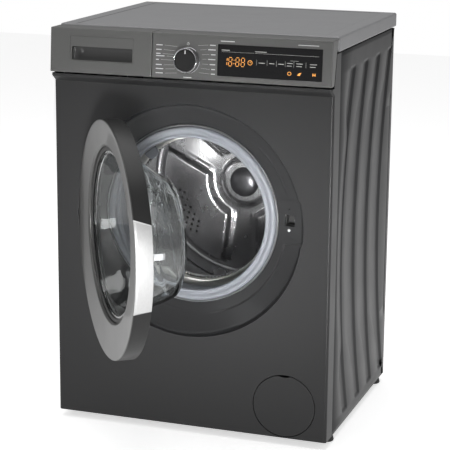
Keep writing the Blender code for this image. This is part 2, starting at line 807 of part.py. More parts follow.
def drawer():
    x0 = -HALF + 0.0003
    x1 = DRAWER_SEAM_X - DRAWER_SEAM / 2
    front = prism("drawer_front", fascia_outline(), x0, x1, FASCIA_GREY, machine)
    scoop = box(
        "cut_handle",
        (HANDLE_X0, -0.010, on_panel(HANDLE_Z0)),
        (HANDLE_X1, HANDLE_DEPTH, on_panel(HANDLE_Z1)),
        None,
        panel_face,
        bevel=0.0045,
        segments=2,
    )
    cut(front, scoop)
    z_low = FASCIA_BOTTOM + 0.0030
    z_top = SHELF_Z - 0.0030
    hollows = (
        ("left", x0 + 0.0025, HANDLE_X0 - 0.003, z_low, z_top, -0.0105),
        ("right", HANDLE_X1 + 0.003, x1 - 0.0025, z_low, z_top, -0.0105),
        ("over", HANDLE_X0 + 0.002, HANDLE_X1 - 0.002, HANDLE_Z1 + 0.003, z_top, -0.0105),
    )
    for tag, a, b, low, high, y in hollows:
        cut(front, box("cut_front_" + tag, (a, y, low), (b, 0.05, high), None, machine))
    tab = box(
        "join_tab",
        (HANDLE_X0 + 0.004, -0.004, TRAY_BOX_Z0 + 0.0020),
        (HANDLE_X1 - 0.004, TRAY_BOX_Y0 - GAP, TRAY_BOX_Z0 + 0.0170),
        None,
        machine,
    )
    cut(front, tab, "UNION")

    tray = box(
        "drawer_tray",
        (TRAY_BOX_X0, TRAY_BOX_Y0, TRAY_BOX_Z0),
        (TRAY_BOX_X1, TRAY_BOX_Y1, TRAY_BOX_Z1),
        WHITE_PLASTIC,
        machine,
    )
    walls = np.linspace(TRAY_BOX_X0, TRAY_BOX_X1 - 0.0020, 4)
    for index, (a, b) in enumerate(zip(walls, walls[1:])):
        pocket = box(
            "cut_compartment_%d" % index,
            (a + 0.0020, TRAY_BOX_Y0 + 0.0020, TRAY_BOX_Z0 + 0.0022),
            (b, TRAY_BOX_Y1 - 0.0020, TRAY_BOX_Z1 + 0.010),
            None,
            machine,
        )
        cut(tray, pocket)

    space_low = TRAY_BOX_Z0 - SLIDE_GAP
    space_high = TRAY_BOX_Z1 + SLIDE_GAP + 0.0020
    housing = box(
        "dispenser_housing",
        (TRAY_BOX_X0 - SLIDE_GAP - HOUSING_WALL, 0.0240, space_low - HOUSING_WALL),
        (TRAY_BOX_X1 + SLIDE_GAP + HOUSING_WALL, TRAY_BOX_Y1 + 0.0150, space_high + HOUSING_WALL),
        WHITE_PLASTIC,
        machine,
    )
    space = box(
        "cut_housing",
        (TRAY_BOX_X0 - SLIDE_GAP, 0.0100, space_low),
        (TRAY_BOX_X1 + SLIDE_GAP, TRAY_BOX_Y1 + 0.0100, space_high),
        None,
        machine,
    )
    spout = cylinder(
        "join_spout",
        0.0140,
        (HOSE_X, HOSE_Y, space_low - 0.012),
        (HOSE_X, HOSE_Y, space_low - 0.001),
        None,
        machine,
        20,
    )
    cut(housing, spout, "UNION")
    cut(housing, space)
    return space_low - 0.012


# ---------------------------------------------------------------- water parts at the back
INLET_X = -0.200
INLET_Z = HEIGHT - 0.065
INLET_R = 0.0125
DRAIN_X = 0.230
DRAIN_Z = HEIGHT - 0.105
DRAIN_R = 0.0120
GLAND_X = 0.230
GLAND_Z = HEIGHT - 0.185
GLAND_R = 0.0110
HOSE_X = -0.180
HOSE_Y = 0.150
SUMP_X = 0.200
SUMP_Y = 0.115


def through_back(name, x, z, radius, depth, block, skin):
    """A body inside the cabinet with a round port that passes out through the back."""
    back_y = CABINET_BACK - SIDE_SHEET - GAP
    inner = back_y - SHEET - GAP
    made = box(
        name,
        (x - block, inner - depth, z - block),
        (x + block, inner, z + block),
        skin,
        machine,
    )
    port = cylinder(
        "join_" + name, radius, (x, inner - 0.004, z), (x, back_y + 0.0180, z), None, machine, 20
    )
    cut(made, port, "UNION")


def back_fittings():
    through_back("inlet_valve", INLET_X, INLET_Z, INLET_R, 0.045, 0.0180, WHITE_PLASTIC)
    through_back("drain_outlet", DRAIN_X, DRAIN_Z, DRAIN_R, 0.016, 0.0170, BLACK_PLASTIC)
    through_back("cord_gland", GLAND_X, GLAND_Z, GLAND_R, 0.014, 0.0150, BLACK_PLASTIC)


# ---------------------------------------------------------------- gasket
def gasket():
    profile = [
        (GASKET_R, 0.0320),
        (GASKET_R, 0.0440),
        (GASKET_LIP_R + 0.0110, 0.0490),
        (GASKET_LIP_R + 0.0110, 0.0590),
        (GASKET_LIP_R + 0.0165, 0.0700),
        (GASKET_LIP_R + 0.0105, 0.0800),
        (GASKET_BACK_R + 0.0032, 0.0920),
        (GASKET_BACK_R, 0.0920),
        (GASKET_BACK_R + 0.0002, 0.0790),
        (GASKET_LIP_R + 0.0130, 0.0700),
        (GASKET_LIP_R + 0.0072, 0.0600),
        (GASKET_LIP_R + 0.0070, 0.0490),
        (GASKET_LIP_R, 0.0430),
        (GASKET_LIP_R + 0.0030, 0.0330),
        (GASKET_LIP_R + 0.0120, 0.0295),
    ]
    turned("door_gasket", profile, GASKET_GREY, main_axis)
    turned(
        "gasket_clamp",
        [(CLAMP_R + x, 0.0360 + y) for x, y in circle(CLAMP_WIRE, 6)],
        ZINC,
        main_axis,
    )


# ---------------------------------------------------------------- door
# The door is modelled shut, in an empty on the hinge line that is then turned open.
hinge_line = empty("door_hinge_line", machine, (HINGE_X, HINGE_Y, RING_Z))
hinge_line.rotation_euler = (0, 0, -math.radians(DOOR_ANGLE))
door_axis = empty("door_axis", hinge_line, (RING_X - HINGE_X, -HINGE_Y, 0))
glass_axis = empty("glass_axis", hinge_line, (AXIS_X - HINGE_X, -HINGE_Y, AXIS_Z - RING_Z))
door_space = empty("door_space", hinge_line, (-HINGE_X, -HINGE_Y, -RING_Z))


def door_rings():
    inner_r = DOOR_R - DOOR_WALL
    outer = [
        (DOOR_R - 0.0012, DOOR_FRONT, 0),
        (DOOR_R, DOOR_FRONT + 0.0012, 0),
        (DOOR_R, DOOR_BACK, 0),
        (inner_r, DOOR_BACK, 0),
        (inner_r, DOOR_FRONT + 0.0060, 0),
        (WINDOW_R + 0.0120, DOOR_FRONT + 0.0130, 1),
        (WINDOW_R, DOOR_FRONT + 0.0130, 1),
        (WINDOW_R, DOOR_FRONT + 0.0100, 1),
        (WINDOW_R + 0.0040, DOOR_FRONT + 0.0070, 1),
        (DOOR_R - 0.0060, DOOR_FRONT, 0),
    ]
    slot = box(
        "cut_hinge_slot",
        (-DOOR_R + RING_X - 0.010, HINGE_Y - 0.0075, RING_Z - HINGE_HALF),
        (HINGE_X + 0.0200, DOOR_BACK + 0.010, RING_Z + HINGE_HALF),
        None,
        door_space,
    )
    ring = eccentric("door_outer_ring", outer, DOOR_GREY, door_axis)
    cut(ring, slot)
    edge = inner_r - GAP
    inner = [
        (edge, DOOR_BACK, 0),
        (edge, DOOR_BACK - 0.0030, 0),
        (BOWL_NECK_R + 0.0130, 0.0010, 1),
        (BOWL_NECK_R + 0.0035, 0.0010, 1),
        (BOWL_NECK_R + 0.0035, 0.0036, 1),
        (BOWL_NECK_R + 0.0130, 0.0050, 1),
    ]
    back = eccentric("door_inner_ring", inner, DOOR_GREY, door_axis)
    cut(back, slot)
    latch_slot = box(
        "cut_latch_slot",
        (LATCH_X - 0.0058, -0.010, LATCH_Z - 0.0080),
        (LATCH_X + 0.0058, 0.030, LATCH_Z + 0.0080),
        None,
        door_space,
    )
    cut(back, latch_slot)
    seat = DOOR_FRONT + 0.0130 + GAP
    seal = [
        (WINDOW_R + 0.0010, seat),
        (BOWL_RIM_R + 0.0010, seat),
        (BOWL_RIM_R + 0.0010, seat + 0.0024),
        (WINDOW_R + 0.0010, seat + 0.0024),
    ]
    turned("window_seal", seal, RUBBER, glass_axis)


def door_bowl():
    """Blown glass bowl: an even wall, its base drawn down so that the top slopes."""
    rim_y = DOOR_FRONT + 0.0130 + 0.0024 + 2 * GAP
    outer = (
        (BOWL_RIM_R, rim_y, 0),
        (BOWL_RIM_R, rim_y + 0.0040, 0),
        (BOWL_NECK_R, rim_y + 0.0046, 0),
        (BOWL_NECK_R - 0.0060, 0.0160, 0.0),
        (BOWL_NECK_R - 0.0165, 0.0500, 0.2),
        (BOWL_BASE_R + 0.0165, 0.0960, 0.85),
        (BOWL_BASE_R + 0.0090, 0.1080, 1.0),
        (BOWL_BASE_R - 0.0040, BOWL_DEPTH, 1.0),
    )
    inner = (
        (BOWL_BASE_R - 0.0060, BOWL_DEPTH - BOWL_WALL, 1.0),
        (BOWL_BASE_R + 0.0052, 0.1048, 1.0),
        (BOWL_BASE_R + 0.0125, 0.0940, 0.85),
        (BOWL_NECK_R - 0.0207, 0.0486, 0.2),
        (BOWL_NECK_R - 0.0102, 0.0150, 0.0),
        (BOWL_NECK_R, rim_y, 0),
    )

    def ring(radius, y, drop):
        points = circle(radius, BIG_STEPS)
        return [(x, y, z - drop * BOWL_DROP) for x, z in points]

    bm = bmesh.new()
    rows = [[bm.verts.new(p) for p in ring(*spec)] for spec in outer + inner]
    closed = rows + [rows[0]]
    base_out = len(outer) - 1
    for index, (first, second) in enumerate(zip(closed, closed[1:])):
        if index == base_out:
            continue
        for i in range(BIG_STEPS):
            j = (i + 1) % BIG_STEPS
            bm.faces.new((first[i], first[j], second[j], second[i]))
    for row, y in ((rows[base_out], BOWL_DEPTH + 0.0010), (rows[base_out + 1], BOWL_DEPTH - 0.0032)):
        tip = bm.verts.new((0, y, -BOWL_DROP))
        for i in range(BIG_STEPS):
            bm.faces.new((row[i], row[(i + 1) % BIG_STEPS], tip))
    add("door_glass", to_mesh(bm, "door_glass"), GLASS, glass_axis)


def arc_bar(name, radius0, radius1, y0, y1, start, stop, steps, skin, parent):
    rings = []
    for i in range(steps + 1):
        angle = math.radians(start + (stop - start) * i / steps)
        c = math.cos(angle)
        s = math.sin(angle)
        corners = ((radius0, y0), (radius1, y0), (radius1, y1), (radius0, y1))
        rings.append([(r * c, y, r * s) for r, y in corners])
    return loft(name, rings, skin, parent)


def door_fittings():
    arc_bar(
        "handle_trim",
        DOOR_R + GAP,
        DOOR_R + TRIM_OUT,
        DOOR_FRONT + 0.0040,
        DOOR_BACK,
        TRIM_FROM,
        TRIM_TO,
        12,
        TRIM_METAL,
        door_axis,
    )
    arm_outline = [
        (0.0, -0.0045),
        (0.0150, -0.0045),
        (0.0205, 0.0050),
        (ARM_LENGTH, 0.0050),
        (ARM_LENGTH, 0.0110),
        (0.0, 0.0110),
    ]
    arm = plate("door_hinge_arm", [arm_outline], 0.0250, CAST, hinge_line)
    barrel = cylinder("join_barrel", 0.0062, (0, 0, -0.0125), (0, 0, 0.0125), None, hinge_line, 20)
    bore = cylinder(
        "cut_barrel", PIN_R + 0.0006, (0, 0, -0.020), (0, 0, 0.020), None, hinge_line, 16
    )
    cut(arm, barrel, "UNION")
    cut(arm, bore)
    hook_outline = [
        (-0.0040, -0.0080),
        (0.0030, -0.0080),
        (0.0030, 0.0330),
        (-0.0010, 0.0380),
        (-0.0075, 0.0380),
        (-0.0075, 0.0310),
        (-0.0040, 0.0290),
    ]
    place = (LATCH_X - 0.0, 0.0010, LATCH_Z)
    plate("latch_hook", [hook_outline], 0.0120, ZINC, door_space, place)


def hinge_bracket():
    """Bracket on the cabinet: a plate on the recess and two lugs that carry the pin."""
    lug = [
        (-0.0065, 0.0),
        (-0.0046, -0.0046),
        (0.0, -0.0065),
        (0.0046, -0.0046),
        (0.0065, 0.0),
        (0.0185, 0.0260),
        (0.0185, 0.0450),
        (0.0015, 0.0365),
        (0.0015, 0.0290),
    ]
    base = box(
        "hinge_bracket",
        (0.0015, 0.0290, -0.0200),
        (0.0185, 0.0330, 0.0200),
        CAST,
        hinge_base,
        bevel=0.0006,
        segments=1,
    )
    for tag, z in (("lower", -0.0155), ("upper", 0.0155)):
        tool = plate("join_lug_" + tag, [lug], 0.0046, None, hinge_base, (0, 0, z))
        cut(base, tool, "UNION")
    pin = cylinder("join_pin", PIN_R, (0, 0, -0.0190), (0, 0, 0.0190), None, hinge_base, 16)
    cut(base, pin, "UNION")


hinge_base = empty("hinge_base", machine, (HINGE_X, HINGE_Y, RING_Z))


def door_lock():
    lock = box(
        "door_lock",
        (LATCH_X - 0.0115, 0.0335, LATCH_Z - 0.0320),
        (LATCH_X + 0.0180, 0.0620, LATCH_Z + 0.0240),
        BLACK_PLASTIC,
        machine,
    )
    slot = box(
        "cut_lock_slot",
        (LATCH_X - 0.0092, 0.0200, LATCH_Z - 0.0100),
        (LATCH_X + 0.0130, 0.0500, LATCH_Z + 0.0100),
        None,
        machine,
    )
    cut(lock, slot)


# ---------------------------------------------------------------- tub and drum
def tub():
    inner = TUB_R - TUB_WALL
    front_wall = TUB_FRONT + TUB_WALL
    neck_in = TUB_NECK_R - 0.0035
    front = [
        (TUB_NECK_R, TUB_NECK_Y),
        (TUB_NECK_R, TUB_FRONT),
        (TUB_R - 0.0060, TUB_FRONT),
        (TUB_R, TUB_FRONT + 0.0060),
        (TUB_R, TUB_SPLIT - GAP),
        (inner, TUB_SPLIT - GAP),
        (inner, front_wall + 0.0020),
        (neck_in, front_wall),
        (neck_in, TUB_NECK_Y),
    ]
    half = turned("tub_front", front, TUB_PLASTIC, main_axis, steps=TUB_STEPS)
    sump = cylinder(
        "join_sump",
        0.0190,
        (SUMP_X, SUMP_Y + 0.006, SUMP_TOP),
        (SUMP_X, SUMP_Y + 0.006, AXIS_Z - tub_height(SUMP_X - AXIS_X - 0.0190) + 0.0150),
        None,
        machine,
        20,
    )
    cut(half, sump, "UNION")
    inlet = cylinder(
        "join_tub_inlet",
        0.0120,
        (HOSE_X, HOSE_Y, AXIS_Z + tub_height(HOSE_X - AXIS_X - 0.0120)),
        (HOSE_X, HOSE_Y, tub_inlet_top()),
        None,
        machine,
        20,
    )
    cut(half, inlet, "UNION")

    back_in = TUB_BACK - TUB_WALL
    hub = SHAFT_R + 0.0020
    rear = [
        (TUB_R, TUB_SPLIT + GAP),
        (TUB_R, TUB_BACK - 0.0060),
        (TUB_R - 0.0060, TUB_BACK),
        (0.0400, TUB_BACK),
        (0.0340, TUB_BACK + 0.0100),
        (hub, TUB_BACK + 0.0100),
        (hub, back_in - 0.0020),
        (0.0450, back_in - 0.0020),
        (0.0500, back_in),
        (inner, back_in),
        (inner, TUB_SPLIT + GAP),
    ]
    shell = turned("tub_rear", rear, TUB_PLASTIC, main_axis, steps=TUB_STEPS)
    for tag, side in (("left", -1), ("right", 1)):
        ends = sorted((side * (TUB_R - 0.0205), side * (SPRING_X + 0.0130)))
        lug = box(
            "join_spring_lug_" + tag,
            (ends[0], SUSPENSION_Y - 0.014, SPRING_FOOT - 0.0155 - AXIS_Z),
            (ends[1], SUSPENSION_Y + 0.014, SPRING_FOOT - 0.0003 - AXIS_Z),
            None,
            main_axis,
        )
        cut(shell, lug, "UNION")
        ends = sorted((side * (DAMPER_X - 0.0080), side * (DAMPER_X + 0.0080)))
        lug = box(
            "join_damper_lug_" + tag,
            (ends[0], SUSPENSION_Y - 0.010, DAMPER_TOP + 0.0003 - AXIS_Z),
            (ends[1], SUSPENSION_Y + 0.010, 0.0022 - tub_height(DAMPER_X)),
            None,
            main_axis,
        )
        cut(shell, lug, "UNION")


def tub_height(across):
    """How far above its axis the tub's outside is, at a distance to the side of it."""
    return math.sqrt(TUB_R**2 - across**2)


def tub_inlet_top():
    """Height of the tub's filling spout, 10 mm over the tub beside the hose."""
    return AXIS_Z + tub_height(abs(HOSE_X - AXIS_X) - 0.018) + 0.010


DAMPER_TOP = 0.2350
SUMP_TOP = 0.2630
HOSE_FOOT_Z = 0.1350
PUMP_LENGTH = 0.150
PUMP_FRONT = 0.0160


def weights():
    outer = TUB_R - 0.0140
    inner = outer - 0.0640
    y0 = TUB_FRONT - 0.0240
    arc = []
    span = math.radians(125)
    count = 20
    for i in range(count + 1):
        angle = math.radians(90) - span + 2 * span * i / count
        arc.append((outer * math.cos(angle), outer * math.sin(angle)))
    for i in range(count + 1):
        angle = math.radians(90) + span - 2 * span * i / count
        arc.append((inner * math.cos(angle), inner * math.sin(angle)))
    upright(
        "front_counterweight", [arc], y0, TUB_FRONT - GAP, CONCRETE, machine, AXIS_X, AXIS_Z
    )
    top = box(
        "top_counterweight",
        (AXIS_X - 0.1050, 0.1400, AXIS_Z + TUB_R - 0.0620),
        (AXIS_X + 0.1050, 0.2500, AXIS_Z + TUB_R + 0.0190),
        CONCRETE,
        machine,
        bevel=0.006,
        segments=1,
    )
    saddle = cylinder(
        "cut_saddle",
        TUB_R + 0.0010,
        (AXIS_X, 0.100, AXIS_Z),
        (AXIS_X, 0.300, AXIS_Z),
        None,
        machine,
        BIG_STEPS,
    )
    cut(top, saddle)


def drum():
    inner = DRUM_R - DRUM_SHEET
    mouth_in = DRUM_MOUTH_R + DRUM_SHEET
    shell = [
        (DRUM_MOUTH_R, DRUM_FRONT + 0.0105),
        (DRUM_MOUTH_R, DRUM_FRONT + 0.0020),
        (DRUM_MOUTH_R + 0.0025, DRUM_FRONT),
        (DRUM_R - 0.0090, DRUM_FRONT),
        (DRUM_R, DRUM_FRONT + 0.0090),
        (DRUM_R, DRUM_BACK),
        (inner, DRUM_BACK),
        (inner, DRUM_FRONT + 0.0095),
        (DRUM_R - 0.0095, DRUM_FRONT + DRUM_SHEET),
        (mouth_in + 0.0018, DRUM_FRONT + DRUM_SHEET),
        (mouth_in, DRUM_FRONT + 0.0026),
        (mouth_in, DRUM_FRONT + 0.0105),
    ]
    turned("drum_shell", shell, STEEL, main_axis)
    edge = inner - GAP
    wall = [
        (0, 0.3760),
        (0.0380, 0.3760),
        (0.0560, 0.3700),
        (0.0800, 0.3740),
        (edge - 0.0284, 0.3820),
        (edge, 0.3850),
        (edge, 0.3890),
        (edge - DRUM_SHEET, 0.3890),
        (edge - DRUM_SHEET, 0.3862),
        (edge - 0.0284, 0.3834),
        (0.0800, 0.3754),
        (0.0560, 0.3714),
        (0.0380, 0.3774),
        (0, 0.3774),
    ]
    turned("drum_back", wall, STEEL, main_axis)

    base = DRUM_R - DRUM_SHEET - GAP - 0.0006
    foot = 0.0260
    lift = [
        (-foot, math.sqrt((base - 0.0004) ** 2 - foot**2)),
        (-foot * 0.62, base - LIFTER_HEIGHT * 0.55),
        (-foot * 0.30, base - LIFTER_HEIGHT * 0.92),
        (0, base - LIFTER_HEIGHT),
        (foot * 0.30, base - LIFTER_HEIGHT * 0.92),
        (foot * 0.62, base - LIFTER_HEIGHT * 0.55),
        (foot, math.sqrt((base - 0.0004) ** 2 - foot**2)),
        (foot * 0.5, base - 0.0022),
        (0, base - 0.0010),
        (-foot * 0.5, base - 0.0022),
    ]
    middle = DRUM_FRONT + 0.018 + LIFTER_LENGTH / 2
    for index in range(LIFTERS):
        angle = math.radians(LIFTER_ANGLE + 360 * index / LIFTERS)
        turn = Matrix.Rotation(-angle + math.pi / 2, 4, "Y") @ Matrix.Rotation(math.pi / 2, 4, "X")
        made = plate(
            "drum_lifter_%d" % (index + 1), [lift], LIFTER_LENGTH, ZINC, main_axis, (0, middle, 0)
        )
        made.rotation_euler = turn.to_euler()

    spider = upright("drum_spider", [spider_outline()], 0.3908, 0.4080, CAST, machine)
    spider.location = (AXIS_X, 0.3994, AXIS_Z)
    shaft = cylinder(
        "join_shaft",
        SHAFT_R,
        (AXIS_X, 0.3960, AXIS_Z),
        (AXIS_X, 0.4600, AXIS_Z),
        None,
        machine,
        24,
    )
    cut(spider, shaft, "UNION")


def spider_outline():
    points = []
    for index in range(LIFTERS):
        arm = math.radians(LIFTER_ANGLE + 360 * index / LIFTERS)
        tip = DRUM_R - 0.0100
        spread = math.asin(0.0120 / tip)
        root = math.radians(34)
        points += [
            (0.0420 * math.cos(arm - root), 0.0420 * math.sin(arm - root)),
            (tip * math.cos(arm - spread), tip * math.sin(arm - spread)),
            (tip * math.cos(arm + spread), tip * math.sin(arm + spread)),
            (0.0420 * math.cos(arm + root), 0.0420 * math.sin(arm + root)),
        ]
    return points


def drive():
    bore = SHAFT_R + GAP
    y = PULLEY_Y
    pulley = [
        (bore, y - 0.0085),
        (0.0280, y - 0.0085),
        (0.0300, y - 0.0030),
        (PULLEY_R - 0.0100, y - 0.0030),
        (PULLEY_R - 0.0080, y - 0.0090),
        (PULLEY_R, y - 0.0090),
        (PULLEY_R, y + 0.0090),
        (PULLEY_R - 0.0080, y + 0.0090),
        (PULLEY_R - 0.0100, y + 0.0030),
        (0.0300, y + 0.0030),
        (0.0280, y + 0.0110),
        (bore, y + 0.0110),
    ]
    wheel = turned("drum_pulley", pulley, CAST, main_axis, steps=30)
    for index in range(5):
        angle = 2 * math.pi * index / 5
        x = AXIS_X + 0.0830 * math.cos(angle)
        z = AXIS_Z + 0.0830 * math.sin(angle)
        hole = cylinder(
            "cut_pulley_%d" % index, 0.0320, (x, y - 0.020, z), (x, y + 0.020, z), None, machine, 14
        )
        cut(wheel, hole)
    motor = cylinder(
        "drive_motor",
        MOTOR_R,
        (AXIS_X, 0.2900, MOTOR_Z),
        (AXIS_X, 0.4050, MOTOR_Z),
        ZINC,
        machine,
        32,
    )
    lug = box(
        "join_motor_lug",
        (AXIS_X - 0.030, 0.3150, MOTOR_Z + 0.030),
        (AXIS_X + 0.030, 0.3800, AXIS_Z - TUB_R - 0.0010),
        None,
        machine,
    )
    cut(motor, lug, "UNION")
    small = [
        (0, y - 0.0300),
        (0.0070, y - 0.0300),
        (0.0070, y - 0.0095),
        (MOTOR_PULLEY_R, y - 0.0095),
        (MOTOR_PULLEY_R, y + 0.0095),
        (0, y + 0.0095),
    ]
    turned("motor_pulley", small, ZINC, machine, (AXIS_X, 0, MOTOR_Z), "Y", 20)

    def band(extra):
        r1 = PULLEY_R + extra
        r2 = MOTOR_PULLEY_R + extra
        lean = math.asin((r1 - r2) / (AXIS_Z - MOTOR_Z))
        points = []
        for i in range(31):
            angle = -lean + (math.pi + 2 * lean) * i / 30
            points.append((r1 * math.cos(angle), r1 * math.sin(angle)))
        for i in range(9):
            angle = math.pi + lean + (math.pi - 2 * lean) * i / 8
            points.append((r2 * math.cos(angle), MOTOR_Z - AXIS_Z + r2 * math.sin(angle)))
        return points

    upright(
        "drive_belt",
        [band(0.0011 + BELT), band(0.0011)],
        y - 0.0080,
        y + 0.0080,
        RUBBER,
        machine,
        AXIS_X,
        AXIS_Z,
    )


# ---------------------------------------------------------------- suspension
def suspension():
    """Two hanging springs and two upright friction dampers."""
    turns = 7
    per_turn = 8
    height = SPRING_TOP - SPRING_FOOT - 2 * SPRING_WIRE_R - 0.0006
    for tag, side in (("left", -1), ("right", 1)):
        x = AXIS_X + side * SPRING_X
        curve = bpy.data.curves.new("spring_" + tag, "CURVE")
        curve.dimensions = "3D"
        curve.bevel_depth = SPRING_WIRE_R
        curve.bevel_resolution = 1
        curve.use_fill_caps = True
        count = turns * per_turn + 1
        spline = curve.splines.new("POLY")
        spline.points.add(count - 1)
        for i, point in enumerate(spline.points):
            angle = 2 * math.pi * i / per_turn
            rise = SPRING_WIRE_R + 0.0003 + height * i / (count - 1)
            point.co = (
                SPRING_COIL_R * math.cos(angle),
                SPRING_COIL_R * math.sin(angle),
                rise,
                1,
            )
        spring = bpy.data.objects.new("spring_" + tag, curve)
        spring.location = (x, SUSPENSION_Y, SPRING_FOOT)
        spring.parent = machine
        curve.materials.append(ZINC)
        body.objects.link(spring)

        x = AXIS_X + side * DAMPER_X
        cylinder(
            "damper_rod_" + tag,
            DAMPER_ROD_R,
            (x, SUSPENSION_Y, 0.1100),
            (x, SUSPENSION_Y, DAMPER_TOP),
            ZINC,
            machine,
            16,
        )
        bore = DAMPER_ROD_R + 0.0006
        floor = TRAY_FLOOR + 0.0025 + GAP
        tube = [
            (0, 0.0500),
            (bore, 0.0500),
            (bore, 0.1800),
            (DAMPER_R, 0.1800),
            (DAMPER_R, floor),
            (0, floor),
        ]
        turned(
            "damper_tube_" + tag, tube, BLACK_PLASTIC, machine, (x, SUSPENSION_Y, 0), "Z", 20
        )


def hoses(spout_z):
    """Upright bellows that give as the tub moves: dispenser to tub, and tub to pump."""

    def bellows(name, x, y, low, high, radius, bore, folds):
        step = (high - low) / (2 * folds)
        outside = [(radius - (0.003 if i % 2 else 0), low + step * i) for i in range(2 * folds + 1)]
        inside = [(bore, high), (bore, low)]
        turned(name, outside + inside, RUBBER, machine, (x, y, 0), "Z", 16)

    foot = tub_inlet_top() + GAP
    bellows("dispenser_hose", HOSE_X, HOSE_Y, foot, spout_z - GAP, 0.0150, 0.0090, 4)
    bellows(
        "sump_hose",
        SUMP_X,
        SUMP_Y + 0.006,
        HOSE_FOOT_Z + GAP,
        SUMP_TOP - GAP,
        0.0190,
        0.0130,
        5,
    )


def pump():
    """Drain pump behind the round cover, with its filter bore open to the front."""
    end = PUMP_FRONT + PUMP_LENGTH
    profile = [
        (0, PUMP_FRONT + 0.070),
        (PUMP_BORE_R, PUMP_FRONT + 0.070),
        (PUMP_BORE_R, PUMP_FRONT),
        (PUMP_R, PUMP_FRONT),
        (PUMP_R, end),
        (0, end),
    ]
    body_part = turned(
        "drain_pump", profile, BLACK_PLASTIC, machine, (COVER_X, 0, COVER_Z), "Y", 32
    )
    neck = cylinder(
        "join_pump_neck",
        0.0180,
        (SUMP_X, SUMP_Y + 0.006, COVER_Z + 0.015),
        (SUMP_X, SUMP_Y + 0.006, HOSE_FOOT_Z),
        None,
        machine,
        20,
    )
    cut(body_part, neck, "UNION")
    grip = [
        (0, PUMP_FRONT - 0.0090),
        (0.0080, PUMP_FRONT - 0.0090),
        (0.0100, PUMP_FRONT - 0.0040),
        (PUMP_R - 0.0010, PUMP_FRONT - 0.0035),
        (PUMP_R - 0.0010, PUMP_FRONT - GAP),
        (PUMP_BORE_R - 0.0008, PUMP_FRONT - GAP),
        (PUMP_BORE_R - 0.0008, PUMP_FRONT + 0.0500),
        (0, PUMP_FRONT + 0.0500),
    ]
    turned("filter_cap", grip, WHITE_PLASTIC, machine, (COVER_X, 0, COVER_Z), "Y", 32)


def filter_cover():
    """Round flush cover that tips forward on a line near its lower edge."""
    hinge = empty("cover_hinge_line", machine, (COVER_X, 0.0012, COVER_HINGE_Z))
    rise = COVER_Z - COVER_HINGE_Z
    profile = [
        (0, -0.0012),
        (COVER_R - 0.0012, -0.0012),
        (COVER_R, 0.0),
        (COVER_R, 0.0026),
        (COVER_R - 0.0020, 0.0026),
        (COVER_R - 0.0020, 0.0010),
        (0, 0.0010),
    ]
    turned("filter_cover", profile, GRAPHITE, hinge, (0, 0, rise), "Y", 40)


front_panel()
side_panel("side_panel_left", -1)
side_panel("side_panel_right", 1)
back_and_base()
feet()
worktop()
top_brace()
control_fascia()
knob()
spout_end = drawer()
back_fittings()
gasket()
door_rings()
door_bowl()
door_fittings()
hinge_bracket()
door_lock()
tub()
weights()
drum()
drive()
suspension()
hoses(spout_end)
pump()
filter_cover()
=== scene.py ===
"""Looks of the front load washing machine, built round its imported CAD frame."""

import json
from math import atan2, cos, hypot, pi, radians, sin, sqrt

import bmesh
import bpy
import numpy as np
from mathutils import Matrix, Vector

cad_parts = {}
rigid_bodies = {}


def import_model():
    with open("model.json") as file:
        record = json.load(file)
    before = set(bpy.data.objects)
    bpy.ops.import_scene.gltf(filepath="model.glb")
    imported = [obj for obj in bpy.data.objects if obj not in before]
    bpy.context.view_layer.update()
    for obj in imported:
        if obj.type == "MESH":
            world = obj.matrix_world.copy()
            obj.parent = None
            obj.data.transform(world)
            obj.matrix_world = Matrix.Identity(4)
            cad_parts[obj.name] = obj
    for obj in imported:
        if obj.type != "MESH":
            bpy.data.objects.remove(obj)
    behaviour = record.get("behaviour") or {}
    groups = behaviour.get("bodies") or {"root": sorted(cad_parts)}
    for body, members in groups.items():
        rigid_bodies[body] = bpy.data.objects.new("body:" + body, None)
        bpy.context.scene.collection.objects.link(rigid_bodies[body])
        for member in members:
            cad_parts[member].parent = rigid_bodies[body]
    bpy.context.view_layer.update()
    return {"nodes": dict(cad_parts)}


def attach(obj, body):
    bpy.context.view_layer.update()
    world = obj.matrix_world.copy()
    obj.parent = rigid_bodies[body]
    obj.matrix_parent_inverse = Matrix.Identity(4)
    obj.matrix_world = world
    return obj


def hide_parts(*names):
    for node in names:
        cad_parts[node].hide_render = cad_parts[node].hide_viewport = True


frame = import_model()
nodes = frame["nodes"]

# ---- sizes shared with the CAD
WIDTH = 0.597
HEIGHT = 0.845
HALF = WIDTH / 2
FRONT_Y = -0.059
CABINET_BACK = 0.485
SIDE_FRONT = 0.0462
SIDE_TOP = 0.8135
PANEL_FOOT = 0.752
PANEL_OUT = 0.021
PANEL_HEAD_OUT = 0.014
PANEL_HEAD = 0.842
TILT = atan2(PANEL_OUT - PANEL_HEAD_OUT, PANEL_HEAD - PANEL_FOOT)
RING_X = -0.005
RING_Z = 0.455
AXIS_X = -0.0098
AXIS_Z = 0.4638
SHIFT_X = AXIS_X - RING_X
SHIFT_Z = AXIS_Z - RING_Z
DOOR_ANGLE = radians(53.4)
HINGE_X = -0.226
HINGE_Y = -0.015
RECESS_R = 0.2433
DISH_R = 0.1883
CLAMP_R = 0.1856
DISH_Y = 0.036
DOOR_R = 0.236
WINDOW_R = 0.173
LATCH_X = 0.2054
LATCH_Z = 0.4708
COVER_X = 0.2069
COVER_Z = 0.085
COVER_R = 0.066
KNOB_X = 0.001
KNOB_Z = 0.79
DRUM_R = 0.24
DRUM_SHEET = 0.0012
ROUND = 192

